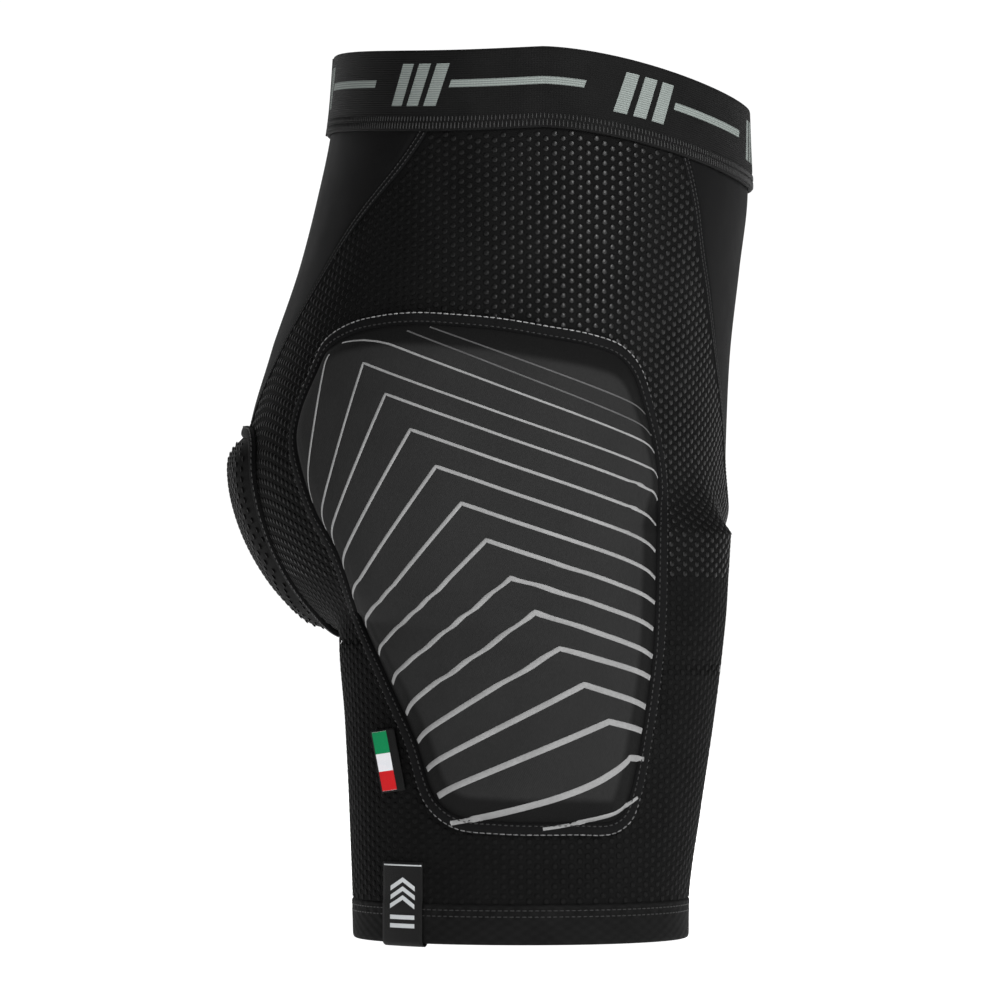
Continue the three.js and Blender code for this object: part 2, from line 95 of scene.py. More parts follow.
# Seam lines: height, distance from the middle plane.
FRONT_SEAM = np.array([[-40, 124], [-65, 118], [-98, 106], [-116, 96], [-153, 72], [-200, 38],
                       [-240, 13.3]], float)
BACK_SEAM = np.array([[-22, 139], [-50, 130], [-84, 108], [-127, 79], [-160, 56], [-205, 32],
                      [-246, 13.3]], float)
LEG_START = -240             # where the leg's own outline takes over from the pelvis
# The gusset is laid out round a point over the crotch, in degrees from its middle line.
ARCH_FROM = np.array([0.0, 25.0, -200.0])
ARCH_DROP = 30
ARCH_GUSSET = 20.5
ARCH_SEAM = (20, 27.5)
ARCH_PANEL = 27.0
FRONT_END = (-99.5, -240)    # the gusset's two ends: y, height
BACK_END = (146, -246)
# Hip pad outline, seen from the side: y, height.
HIP_OUTLINE = [
    (22, -129), (-3, -133), (-25, -137), (-40, -142.5), (-49, -152), (-56, -172), (-63, -207), (-64, -250),
    (-62, -300), (-56, -345), (-50, -375), (-45, -388), (-36, -394.5), (-15, -395), (22, -394.5),
    (45, -391.5), (59, -380), (70, -348), (82, -320), (95, -289), (109, -250), (119, -232),
    (127, -210), (130, -194), (127, -176), (119, -156), (111, -140), (98, -131.5), (82, -127.5), (64, -126),
    (44, -127),
]
# Tailbone pad outline, seen from behind, one half: x, height.
TAIL_OUTLINE = [(0, -183), (35, -184), (62, -186), (75, -195), (79, -215), (76, -240), (66, -264), (44, -284),
                (18, -293), (0, -294)]
BODY = "shorts"
TAB_BODY = "side_label"


# ---------------------------------------------------------------- the surface of the worn shorts
def spline(rows, t):
    """Smooth values between a table's rows, whose first column is t."""
    rows = rows[np.argsort(rows[:, 0])]
    x, v = rows[:, 0], rows[:, 1:]
    h = np.diff(x)[:, None]
    rise = np.diff(v, axis=0) / h
    slope = np.empty_like(v)
    slope[0], slope[-1] = rise[0], rise[-1]
    slope[1:-1] = (rise[:-1] * h[1:] + rise[1:] * h[:-1]) / (h[1:] + h[:-1])
    t = np.clip(np.asarray(t, float), x[0], x[-1])
    i = np.clip(np.searchsorted(x, t) - 1, 0, len(x) - 2)
    w = (x[i + 1] - x[i])[..., None]
    u = (t - x[i])[..., None] / w
    a, b = v[i], v[i + 1]
    s0, s1 = slope[i] * w, slope[i + 1] * w
    return a + u * (s0 + u * (3 * (b - a) - 2 * s0 - s1 + u * (s0 + s1 - 2 * (b - a))))


def smooth_min(a, b, blend):
    """The smaller of two values, rounded over where they meet."""
    h = np.maximum(blend - np.abs(a - b), 0) / blend
    return np.minimum(a, b) - h * h * blend / 4


def field(p, cleft=True):
    """Negative inside the worn shorts, positive outside, close to a distance near the surface."""
    x, y, z = np.abs(p[..., 0]), p[..., 1], p[..., 2]
    front, back, half = np.moveaxis(spline(PELVIS, z), -1, 0)
    dip = spline(CLEFT, z)[..., 0] * np.exp(-((x / CLEFT_WIDTH) ** 2)) * (y > 0) if cleft else 0
    depth = (back - front) / 2
    along = np.abs(y + dip - (front + back) / 2) / depth
    ratio = ((x / half) ** PELVIS_POWER + along ** PELVIS_POWER) ** (1 / PELVIS_POWER)
    under = spline(CROTCH, y)[..., 0] - z
    pelvis = -smooth_min(-(ratio - 1) * np.minimum(half, depth), -under, UNDER)
    front, back, inner, outer = np.moveaxis(spline(LEG, z), -1, 0)
    half = (outer - inner) / 2
    ratio = np.hypot((x - (inner + outer) / 2) / half, (y - (front + back) / 2) / ((back - front) / 2))
    leg = (ratio - 1) * half + np.maximum(z - LEG_START, 0) / 2
    outer = np.clip((x - 90) / 40, 0, 1)
    blend = CREASE + (OUTER_CREASE - CREASE) * outer * outer * (3 - 2 * outer)
    return smooth_min(pelvis, leg, blend)


def slope_at(p, cleft=True, step=0.25):
    """How fast the field grows along each axis."""
    g = np.empty_like(p)
    for k in range(3):
        d = np.zeros(3)
        d[k] = step
        g[..., k] = field(p + d, cleft) - field(p - d, cleft)
    return g / (2 * step)


def unit(v):
    return v / np.maximum(np.linalg.norm(v, axis=-1, keepdims=True), 1e-9)


def normal_at(p, cleft=True):
    return unit(slope_at(p, cleft))


def pad_normal(p, cleft=True):
    """The normal averaged over 48 mm of height, because a stiff pad bridges small hollows."""
    return unit(sum(normal_at(p + [0.0, 0.0, rise], cleft) for rise in (-24, -12, 0, 12, 24)))


def cross_surface(start, direction, cleft=True, step=6.0, reach=330.0):
    """The first point where each line from start crosses the surface."""
    start, direction = np.broadcast_arrays(np.asarray(start, float), unit(np.asarray(direction, float)))
    sign = np.sign(field(start, cleft))
    near = np.zeros(start.shape[:-1])
    found = np.zeros(start.shape[:-1], bool)
    for k in range(1, int(reach / step) + 1):
        beyond = field(start + direction * (k * step), cleft) * sign < 0
        near = np.where(beyond & ~found, (k - 1) * step, near)
        found |= beyond
        if found.all():
            break
    if not found.all():
        raise ValueError("a line misses the shorts")
    far = near + step
    for _ in range(22):
        middle = (near + far) / 2
        beyond = field(start + direction * middle[..., None], cleft) * sign < 0
        near, far = np.where(beyond, near, middle), np.where(beyond, middle, far)
    return start + direction * ((near + far) / 2)[..., None]


def settle(p, cleft=True):
    """The nearest surface points to points that are already close to it."""
    p = np.array(p, float)
    for _ in range(8):
        g = slope_at(p, cleft)
        p -= g * (field(p, cleft) / np.maximum((g * g).sum(-1), 0.2))[..., None]
    return p


def rows_of(*columns):
    return np.stack(np.broadcast_arrays(*[np.asarray(c, float) for c in columns]), -1)


def seen_from_side(side, y, z):
    """The surface points that a level view from one side shows."""
    return cross_surface(rows_of(side * 230.0, y, z), [-side, 0, 0])


def seen_from_front(x, z):
    """The surface points that a level view from in front shows."""
    return cross_surface(rows_of(x, -160.0, z), [0, 1, 0])


def seen_from_back(x, z, cleft=True):
    """The surface points that a level view from behind shows."""
    return cross_surface(rows_of(x, 220.0, z), [0, -1, 0], cleft)


def lerp(a, b, t):
    return a + (b - a) * t


def lengths_along(line):
    """Distance along a line of points, from its first one."""
    return np.concatenate([[0], np.cumsum(np.linalg.norm(np.diff(line, axis=0), axis=1))])


def places_at(at, along, line):
    """Points of a line where its measure, along, has the values at."""
    return np.stack([np.interp(at, along, line[:, c]) for c in range(line.shape[1])], -1)


def relief(p):
    """The worn fabric's slight unevenness, the same for every layer at a place."""
    x, y, z = p[..., 0], p[..., 1], p[..., 2]
    slow = np.sin(x / 31 + 0.7) * np.sin(y / 37 + z / 53)
    slow += np.sin(z / 29 + y / 61 + 1.9) * np.sin(x / 47 - y / 43)
    fold = np.sin(z / 8.5 + 1.4 * np.sin(y / 21) + x / 19)
    near_crotch = np.exp(-(((z + 285) / 26) ** 2)) * np.exp(-((np.abs(x) / 70) ** 2))
    return 0.35 * slow + 0.55 * near_crotch * fold


# ---------------------------------------------------------------- meshes
def mesh_object(name, points, faces, uv=None, material=None, values=None):
    """A piece from points in millimetres. uv and values are given for each point."""
    mesh = bpy.data.meshes.new(name)
    mesh.from_pydata((np.asarray(points, float) * MM).tolist(), [], faces)
    mesh.update()
    mesh.polygons.foreach_set("use_smooth", np.ones(len(mesh.polygons), bool))
    corner = np.empty(len(mesh.loops), np.int32)
    mesh.loops.foreach_get("vertex_index", corner)
    if uv is not None:
        layer = mesh.uv_layers.new(name="UVMap")
        layer.data.foreach_set("uv", np.asarray(uv, np.float32)[corner].ravel())
    for key, value in (values or {}).items():
        layer = mesh.attributes.new(key, "FLOAT", "POINT")
        layer.data.foreach_set("value", np.asarray(value, np.float32).ravel())
    piece = bpy.data.objects.new(name, mesh)
    bpy.context.scene.collection.objects.link(piece)
    if material is not None:
        mesh.materials.append(material)
    return piece


def facing_out(points, faces):
    """The same faces, turned over if they face in."""
    a, b, c, d = (points[k] for k in np.array([f[:4] if len(f) > 3 else (*f, f[0]) for f in faces]).T)
    volume = np.einsum("ij,ij->", a, np.cross(b, c)) + np.einsum("ij,ij->", a, np.cross(c, d))
    return faces if volume > 0 else [tuple(reversed(f)) for f in faces]


def shell(name, p, n, top, bottom, uv, material, wrap=False, coarse=1, values=None, edge_round=0.0):
    """A closed sheet: an outer grid at height top over p, and an inner one that is coarse times coarser."""
    rows, columns = p.shape[:2]
    top = np.broadcast_to(np.asarray(top, float), (rows, columns))
    bottom = np.broadcast_to(np.asarray(bottom, float), (rows, columns))
    outer = p + n * top[..., None]
    inner = (p + n * bottom[..., None])[::coarse, ::coarse]
    if edge_round:
        outer = outer.copy()
        for end, beside in ((0, 1), (-1, -2)):
            outer[end] = lerp(outer[end], outer[beside], 0.15) - n[end] * edge_round
            if not wrap:
                outer[:, end] = outer[:, end] - n[:, end] * edge_round
    few_rows, few_columns = inner.shape[:2]
    points = np.concatenate([outer.reshape(-1, 3), inner.reshape(-1, 3)])
    base = rows * columns

    def quads(r, c, start, flip):
        i, j = np.meshgrid(np.arange(r - 1), np.arange(c if wrap else c - 1), indexing="ij")
        k = (j + 1) % c
        q = np.stack([i * c + j, (i + 1) * c + j, (i + 1) * c + k, i * c + k], -1).reshape(-1, 4) + start
        return (q[:, ::-1] if flip else q).tolist()

    faces = quads(rows, columns, 0, False) + quads(few_rows, few_columns, base, True)
    across = few_columns if wrap else few_columns - 1
    for j in range(across):
        fine = [(j * coarse + s) % columns for s in range(coarse + 1)]
        a, b = base + j, base + (j + 1) % few_columns
        last = (few_rows - 1) * few_columns
        faces.append([*fine, b, a])
        faces.append([a + last, b + last, *[(rows - 1) * columns + k for k in reversed(fine)]])
    if not wrap:
        for i in range(few_rows - 1):
            fine = [(i * coarse + s) * columns for s in range(coarse + 1)]
            a, b = base + i * few_columns, base + (i + 1) * few_columns
            faces.append([a, b, *reversed(fine)])
            right = [k + columns - 1 for k in fine]
            faces.append([*right, b + few_columns - 1, a + few_columns - 1])
    faces = facing_out(points, faces)
    few = few_rows * few_columns

    def both(v):
        return np.concatenate([v.reshape(base, -1), v[::coarse, ::coarse].reshape(few, -1)])

    values = {k: both(np.broadcast_to(v, (rows, columns))).ravel() for k, v in (values or {}).items()}
    values["outside"] = np.concatenate([np.ones(base), np.zeros(few)])
    return mesh_object(name, points, faces, both(uv), material, values)


def arc_uv(p):
    """UVs in millimetres: distance along each row from the middle column, and down each column."""
    step = np.linalg.norm(np.diff(p, axis=1), axis=-1)
    u = np.concatenate([np.zeros((p.shape[0], 1)), np.cumsum(step, axis=1)], axis=1)
    middle = p.shape[1] // 2
    u = u - u[:, middle:middle + 1]
    fall = np.linalg.norm(np.diff(p, axis=0), axis=-1)
    v = np.concatenate([np.zeros((1, p.shape[1])), np.cumsum(fall, axis=0)], axis=0)
    v = v - v[-1:, :]
    return np.stack([u, -v], -1)


def ride_as(piece, node=None, body=BODY):
    """The piece rides on a body, in place of a CAD node."""
    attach(piece, body)
    if node:
        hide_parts(node)
    return piece


def mirrored(piece):
    """A right-hand piece made again for the wearer's left side."""
    name = piece.name.replace("right_", "left_")
    mesh = piece.data.copy()
    mesh.name = name
    co = np.empty(len(mesh.vertices) * 3, np.float32)
    mesh.vertices.foreach_get("co", co)
    co = co.reshape(-1, 3)
    co[:, 0] *= -1
    mesh.vertices.foreach_set("co", co.ravel())
    mesh.flip_normals()
    other = bpy.data.objects.new(name, mesh)
    bpy.context.scene.collection.objects.link(other)
    return other


def ride_both(piece, node=None):
    """A right-hand piece and its mirror, each in place of its own side's node; gives the left one."""
    left = mirrored(piece)
    for side, one in (("right", piece), ("left", left)):
        ride_as(one, f"{side}_{node}" if node else None)
    return left


# ---------------------------------------------------------------- the panels' places on the surface
def waist_top(y):
    """The height of the waist elastic's upper edge: nearly level behind, lower in front."""
    share = np.abs(y) / 111
    behind = 11 + 2.5 * share - 2.5 * np.sin(np.pi * np.minimum(share, 1))
    return np.where(y > 0, behind, 11 - 27 * share ** 1.6)


def band_bottom(y):
    """The height of the waist elastic's lower edge."""
    return waist_top(y) - BAND_HEIGHT


def arch_points(side, t, degrees):
    """Points on the gusset's rows: t runs from the front (0) to the back (1), and degrees across."""
    t, lean = np.broadcast_arrays(np.asarray(t, float), np.radians(degrees))
    ends = [math.atan2(z - ARCH_FROM[2], y - ARCH_FROM[1]) + 2 * math.pi for y, z in (FRONT_END, BACK_END)]
    turn = lerp(ends[0], ends[1], t)
    down = rows_of(0, np.cos(turn), np.sin(turn))
    ridge = cross_surface(ARCH_FROM, down)
    start = ridge + down * ARCH_DROP
    across = rows_of(side, 0, 0)
    return cross_surface(start, -down * np.cos(lean)[..., None] + across * np.sin(lean)[..., None], step=3.0)


def seam_points(rows, seen, side, z, offset):
    """Points beside a seam line at heights z, offset across it, away from the middle plane."""
    def on(height):
        return seen(side * spline(rows, height)[..., 0], height)
    p = on(z)
    along = unit(on(z - 1.0) - on(z + 1.0))
    across = unit(np.cross(along, normal_at(p)))
    across *= np.sign(across[..., :1] * side)
    return settle(p + across * np.asarray(offset, float)[..., None])


def leg_axis(z):
    """The middle of the leg, or of half the pelvis, at a height: x, y."""
    front, back, inner, outer = np.moveaxis(spline(LEG, z), -1, 0)
    return lerp(80, (inner + outer) / 2, np.clip((z + 100) / -140, 0, 1)), (front + back) / 2


INSEAM_TOP = -314
INSEAM_Y = 20
HEM_TOP = HEM_Z + HEM_HEIGHT


def inseam_points(side, z, offset):
    """Points on the inner leg at heights z, offset backwards from its seam."""
    z, offset = np.broadcast_arrays(np.asarray(z, float), np.asarray(offset, float))
    x, y = leg_axis(z)
    start = rows_of(side * x, y, z)
    p = cross_surface(start, rows_of(-side * x, INSEAM_Y - y, 0))
    return cross_surface(start, rows_of(p[..., 0] - start[..., 0], p[..., 1] + offset - y, 0))


def at_height(line, z):
    """Where a line of points, sorted by falling height, reaches the heights z."""
    line = line[np.argsort(line[:, 2])]
    return places_at(z, line[:, 2], line)


def tuck_level(line):
    """The height at which an edge line passes the panels' tucked top edge."""
    above = line[:, 2] - (band_bottom(line[:, 1]) + PANEL_TUCK)
    k = int(np.argmax(above < 0))
    share = above[k - 1] / (above[k - 1] - above[k]) if k else 0.0
    return float(lerp(line[max(k - 1, 0), 2], line[k, 2], share))


def panel_edges(side):
    """The side panel's front and back edges, from the waist to the crotch, as lines of points."""
    edges = []
    for rows, seen, end in ((FRONT_SEAM, seen_from_front, 0.0), (BACK_SEAM, seen_from_back, 1.0)):
        upper = seam_points(rows, seen, side, np.linspace(rows[0, 0], rows[-1, 0] + 1, 160), SEAM_GAP)
        lower = arch_points(side, np.linspace(end, 0.5, 120), ARCH_PANEL)
        lower = lower[lower[:, 2] < upper[-1, 2] - 0.5]
        lower = lower[np.concatenate([[True], np.diff(np.minimum.accumulate(lower[:, 2])) < 0])]
        edges.append(np.concatenate([upper, lower]))
    return edges


def side_panel_grid(side, spacing):
    """A grid over one side panel: the hip, then the whole leg down to the hem."""
    front, back = panel_edges(side)
    tops = [tuck_level(line) for line in (front, back)]
    crotch = max(front[-1, 2], back[-1, 2]) + 0.4
    middle = np.linspace(LEG_START, crotch, int((LEG_START - crotch) / spacing) + 1)
    lower = np.linspace(INSEAM_TOP, HEM_TOP - 1.0, int((INSEAM_TOP - HEM_TOP) / spacing) + 1)
    fixed = len(middle) + len(lower)
    upper = np.linspace(0, 1, int((215 / spacing + fixed) / 4) * 4 + 2 - fixed)[:-1]
    edge = []
    for line, top in ((front, tops[0]), (back, tops[1])):
        z = np.concatenate([lerp(top, LEG_START, upper), middle])
        edge.append(at_height(line, z))
    gaps = (-SEAM_GAP, SEAM_GAP)
    edge = [np.concatenate([e, inseam_points(side, lower, gap)]) for e, gap in zip(edge, gaps)]
    angles = []
    for k, e in enumerate(edge):
        x, y = leg_axis(e[:, 2])
        a = np.arctan2(e[:, 1] - y, e[:, 0] * side - x)
        angles.append(np.where((a > 0) & (k == 0), a - 2 * np.pi, a))
    columns = int(540 / spacing / 4) * 4 + 1
    across = np.linspace(0, 1, columns)
    angle = lerp(angles[0][:, None], angles[1][:, None], across)
    blend = np.concatenate([upper, np.ones(len(middle) + len(lower))])[:, None]
    z = np.concatenate([np.full(len(upper), float(LEG_START)), middle, lower])[:, None]
    height = np.broadcast_to(lerp(-28.0, z, blend), angle.shape)
    for _ in range(3):
        x, y = leg_axis(height)
        p = cross_surface(rows_of(side * x, y, height), rows_of(side * np.cos(angle), np.sin(angle), 0))
        height = lerp(band_bottom(p[..., 1]) + PANEL_TUCK, z, blend)
    p[:, 0], p[:, -1] = edge[0], edge[1]
    return p


def middle_panel_grid(rows, seen, end, spacing):
    """A grid over the front or back panel, from the waist down to the gusset."""
    line = seam_points(rows, seen, 1, np.linspace(rows[0, 0], rows[-1, 0], 200), -SEAM_GAP)
    top = tuck_level(line)
    t = np.linspace(0, 1, int((top - end) / spacing / 4) * 4 + 1)
    edge = at_height(line, lerp(top, end + 0.3, t))
    across = np.linspace(-1, 1, int(2 * edge[0, 0] / spacing / 4) * 4 + 1)
    x = edge[:, :1] * across
    start = np.full(x.shape, top)
    for _ in range(3):
        p = seen(x, lerp(start, end + 0.3, t[:, None]))
        first = seen(x[:1], start[:1])
        start = np.broadcast_to(band_bottom(first[..., 1]) + PANEL_TUCK, x.shape)
    return p


# ---------------------------------------------------------------- small repeated shapes
def lens_dots(name, centres, normals, height, material):
    """Low round domes with closed undersides, one at each centre."""
    across = unit(np.cross(normals, UPWARD))
    along = np.cross(across, normals)
    sides = 6
    turn = np.arange(sides) * 2 * np.pi / sides
    ring = np.cos(turn)[:, None, None] * along + np.sin(turn)[:, None, None] * across
    ring = np.moveaxis(ring, 0, 1)
    up = normals[:, None, :]
    p = centres[:, None, :]
    parts = [p + up * height, p + ring * DOT_RADIUS * 0.62 + up * height * 0.78,
             p + ring * DOT_RADIUS - up * 0.02, p - up * 0.25]
    points = np.concatenate(parts, axis=1)
    each = points.shape[1]
    faces = []
    for k in range(sides):
        m = (k + 1) % sides
        faces.append((0, 1 + k, 1 + m))
        faces.append((1 + k, 1 + sides + k, 1 + sides + m, 1 + m))
        faces.append((1 + sides + m, 1 + sides + k, each - 1))
    everything = [tuple(i + start for i in f) for start in range(0, len(centres) * each, each) for f in faces]
    first = facing_out(points[0], faces)
    if first is not faces:
        everything = [tuple(reversed(f)) for f in everything]
    return mesh_object(name, points.reshape(-1, 3), everything, None, material)


def tube_faces(stations, sides):
    """The quads round a tube of rings, without its ends."""
    faces = []
    for s in range(stations - 1):
        for k in range(sides):
            m = (k + 1) % sides
            faces.append((s * sides + k, (s + 1) * sides + k, (s + 1) * sides + m, s * sides + m))
    return faces


def beads(name, centres, along, normals, length, width, height, material, values=None):
    """Short stitches: rounded bars that lie on the fabric."""
    across = unit(np.cross(normals, along))
    along = unit(np.cross(across, normals))
    stations = np.array([-1.0, -0.8, 0.0, 0.8, 1.0])
    girth = np.array([0.35, 0.85, 1.0, 0.85, 0.35])
    sides = 6
    turn = (np.arange(sides) + 0.5) * 2 * np.pi / sides
    n = len(centres)
    length = np.broadcast_to(np.asarray(length, float), (n,))
    points = np.empty((n, len(stations), sides, 3))
    for s, (t, g) in enumerate(zip(stations, girth)):
        middle = centres + along * (length * t / 2)[:, None] - normals * (1 - g) * height * 0.4
        for k in range(sides):
            points[:, s, k] = (middle + across * (math.cos(turn[k]) * width / 2 * g)
                               + normals * (math.sin(turn[k]) * height / 2 * g))
    each = len(stations) * sides
    faces = [tuple(reversed(f)) for f in tube_faces(len(stations), sides)]
    faces += [tuple(range(sides)), tuple(each - 1 - k for k in range(sides))]
    sample = points[0].reshape(-1, 3)
    a, b, c = (sample[i] for i in faces[0][:3])
    if np.dot(np.cross(b - a, c - a), a - sample.mean(0)) < 0:
        faces = [tuple(reversed(f)) for f in faces]
    everything = [tuple(i + start for i in f) for start in range(0, n * each, each) for f in faces]
    spread = {k: np.repeat(v, each) for k, v in (values or {}).items()}
    return mesh_object(name, points.reshape(-1, 3), everything, None, material, spread)


def joined(name, parts, material):
    """One piece from several lists of points and faces."""
    points, faces, base = [], [], 0
    for p, f in parts:
        points.append(p)
        faces += [tuple(i + base for i in face) for face in f]
        base += len(p)
    return mesh_object(name, np.concatenate(points), faces, None, material)


def inside_polygon(polygon, a, b):
    """Whether points (a, b) lie inside a closed outline."""
    inside = np.zeros(np.shape(a), bool)
    for (a0, b0), (a1, b1) in zip(polygon, np.roll(polygon, -1, axis=0)):
        straddles = (b0 > b) != (b1 > b)
        with np.errstate(divide="ignore", invalid="ignore"):
            inside ^= straddles & (a < (a1 - a0) * (b - b0) / (b1 - b0) + a0)
    return inside


def smooth_loop(points, count):
    """Points spread evenly along a closed centripetal curve through an outline."""
    p = np.array(points, float)
    fine = []
    n = len(p)
    for k in range(n):
        q = p[[(k - 1) % n, k, (k + 1) % n, (k + 2) % n]]
        t = np.concatenate([[0], np.cumsum(np.sqrt(np.linalg.norm(np.diff(q, axis=0), axis=1)))])
        s = np.linspace(t[1], t[2], 40, endpoint=False)[:, None]
        a1, a2, a3 = (lerp(q[m], q[m + 1], (s - t[m]) / (t[m + 1] - t[m])) for m in range(3))
        b1, b2 = (lerp(lo, hi, (s - t[m]) / (t[m + 2] - t[m])) for m, lo, hi in ((0, a1, a2), (1, a2, a3)))
        fine.append(lerp(b1, b2, (s - t[1]) / (t[2] - t[1])))
    fine = np.concatenate(fine)
    closed = np.concatenate([fine, fine[:1]])
    along = lengths_along(closed)
    at = np.linspace(0, along[-1], count, endpoint=False)
    return places_at(at, along, closed)


# ---------------------------------------------------------------- materials
class Finish:
    """A material made of nodes, with short helpers."""

    def __init__(self, name, rough=0.7, sheen=0.0, specular=0.4):
        self.material = bpy.data.materials.new(name)
        self.material.use_nodes = True
        self.tree = self.material.node_tree
        self.shader = self.tree.nodes["Principled BSDF"]
        self.shader.inputs["Roughness"].default_value = rough
        self.shader.inputs["Sheen Weight"].default_value = sheen
        self.shader.inputs["Sheen Roughness"].default_value = 0.4
        self.shader.inputs["Specular IOR Level"].default_value = specular

    def node(self, kind, **settings):
        n = self.tree.nodes.new(kind)
        for key, value in settings.items():
            setattr(n, key, value)
        return n

    def link(self, source, target):
        self.tree.links.new(source, target)

    def math(self, operation, a, b=None, clamp=False):
        n = self.node("ShaderNodeMath", operation=operation, use_clamp=clamp)
        for k, v in enumerate((a, b)):
            if v is None:
                continue
            if isinstance(v, (int, float)):
                n.inputs[k].default_value = v
            else:
                self.link(v, n.inputs[k])
        return n.outputs[0]

    def plus(self, a, b, clamp=False):
        return self.math("ADD", a, b, clamp=clamp)

    def times(self, a, b, clamp=False):
        return self.math("MULTIPLY", a, b, clamp=clamp)

    def wave(self, x, pitch):
        return self.math("SINE", self.times(x, 2 * math.pi / pitch))

    def crossed(self, u, v, across, down):
        """Two waves multiplied, as the loops of a knit or weave."""
        return self.times(self.wave(u, across), self.wave(v, down))

    def uv(self):
        """Distance across and down the piece, in millimetres."""
        n = self.node("ShaderNodeUVMap", uv_map="UVMap")
        parts = self.node("ShaderNodeSeparateXYZ")
        self.link(n.outputs[0], parts.inputs[0])
        return parts.outputs[0], parts.outputs[1]

    def place(self):
        return self.node("ShaderNodeTexCoord").outputs["Object"]

    def noise(self, vector, scale, detail=2.0, rough=0.5):
        n = self.node("ShaderNodeTexNoise")
        self.link(vector, n.inputs["Vector"])
        n.inputs["Scale"].default_value = scale
        n.inputs["Detail"].default_value = detail
        n.inputs["Roughness"].default_value = rough
        return n.outputs["Fac"]

    def value(self, name):
        return self.node("ShaderNodeAttribute", attribute_name=name).outputs["Fac"]

    def mix(self, share, a, b):
        n = self.node("ShaderNodeMix", data_type="RGBA")
        self.link(share, n.inputs["Factor"])
        for k, v in (("A", a), ("B", b)):
            socket = next(s for s in n.inputs if s.name == k and s.type == "RGBA")
            if isinstance(v, tuple):
                socket.default_value = (*v, 1)
            else:
                self.link(v, socket)
        return next(s for s in n.outputs if s.type == "RGBA")

    def colour(self, source):
        if isinstance(source, tuple):
            self.shader.inputs["Base Color"].default_value = (*source, 1)
        else:
            self.link(source, self.shader.inputs["Base Color"])

    def toned(self, source, share):
        """Use a colour, darkened or lightened by a share."""
        shade = self.node("ShaderNodeHueSaturation")
        self.link(source, shade.inputs["Color"])
        self.link(share, shade.inputs["Value"])
        self.colour(shade.outputs[0])

    def rough(self, source):
        self.link(source, self.shader.inputs["Roughness"])

    def bump(self, height, distance, strength=1.0):
        n = self.node("ShaderNodeBump")
        n.inputs["Distance"].default_value = distance * MM
        n.inputs["Strength"].default_value = strength
        self.link(height, n.inputs["Height"])
        self.link(n.outputs[0], self.shader.inputs["Normal"])

    def box_test(self, x, low, high):
        """1 between low and high, 0 outside."""
        return self.times(self.math("GREATER_THAN", x, low), self.math("LESS_THAN", x, high))


def grey(v, tint=0.0):
    return (v, v, v * (1 + tint))


def knit_finish(name, base, pitch=0.9):
    """Smooth stretch knit: fine wales and courses, slightly uneven in tone."""
    f = Finish(name, rough=0.7, specular=0.03)
    u, v = f.uv()
    wale = f.wave(u, pitch)
    course = f.wave(v, pitch * 0.72)
    loops = f.times(wale, course)
    slow = f.noise(f.place(), 55, 3)
    tone = f.plus(f.times(loops, 0.16), f.times(slow, 0.9))
    f.colour(f.mix(f.times(tone, 1.0, clamp=True), grey(base * 0.75), grey(base * 1.35, 0.05)))
    f.rough(f.plus(f.times(slow, 0.16), 0.56))
    f.bump(f.plus(loops, f.times(wale, 0.5)), 0.06, 0.6)
    return f.material


def thread_finish(name, base, light=None):
    """Twisted sewing thread; light is the tone where the piece's bright value is 1."""
    f = Finish(name, rough=0.5, sheen=0.05, specular=0.3)
    twist = f.noise(f.place(), 900, 2)
    dark = f.mix(twist, grey(base * 0.7), grey(base * 1.3))
    if light is None:
        f.colour(dark)
    else:
        # the bright value carries painted highlight and painted shade on the hip pad's border stitches, and
        # an even tone elsewhere
        share = f.times(f.value("bright"), f.plus(twist, 0.45), clamp=True)
        f.colour(f.mix(share, dark, grey(light)))
    f.bump(twist, 0.12, 0.7)
    return f.material


def mesh_finish():
    """The dotted fabric between its raised dots: a matt open knit."""
    f = Finish("mesh_fabric", rough=0.75, specular=0.03)
    u, v = f.uv()
    cells = f.crossed(u, v, 1.1, 1.27)
    slow = f.noise(f.place(), 40, 3)
    f.colour(f.mix(f.plus(f.times(cells, 0.25), slow, clamp=True), grey(0.0022), grey(0.0062)))
    f.bump(cells, 0.12, 0.8)
    return f.material


def dot_finish(name, low, high, rough, gloss):
    """Raised dots; gloss is how much more they shine on the wearer's sides than in front and behind."""
    f = Finish(name, rough=rough)
    parts = f.node("ShaderNodeSeparateXYZ")
    f.link(f.place(), parts.inputs[0])
    off_side = f.math("ABSOLUTE", f.plus(parts.outputs[1], 0.03))
    side = f.math("SUBTRACT", 1.0, f.times(off_side, 10.0), clamp=True)
    f.link(f.plus(f.times(side, gloss), 0.03), f.shader.inputs["Specular IOR Level"])
    fine = f.noise(f.place(), 800, 2)
    slow = f.noise(f.place(), 30, 2)
    f.colour(f.mix(slow, grey(low), grey(high)))
    f.rough(f.plus(f.times(fine, 0.2), rough - 0.08))
    f.bump(fine, 0.08, 0.5)
    return f.material


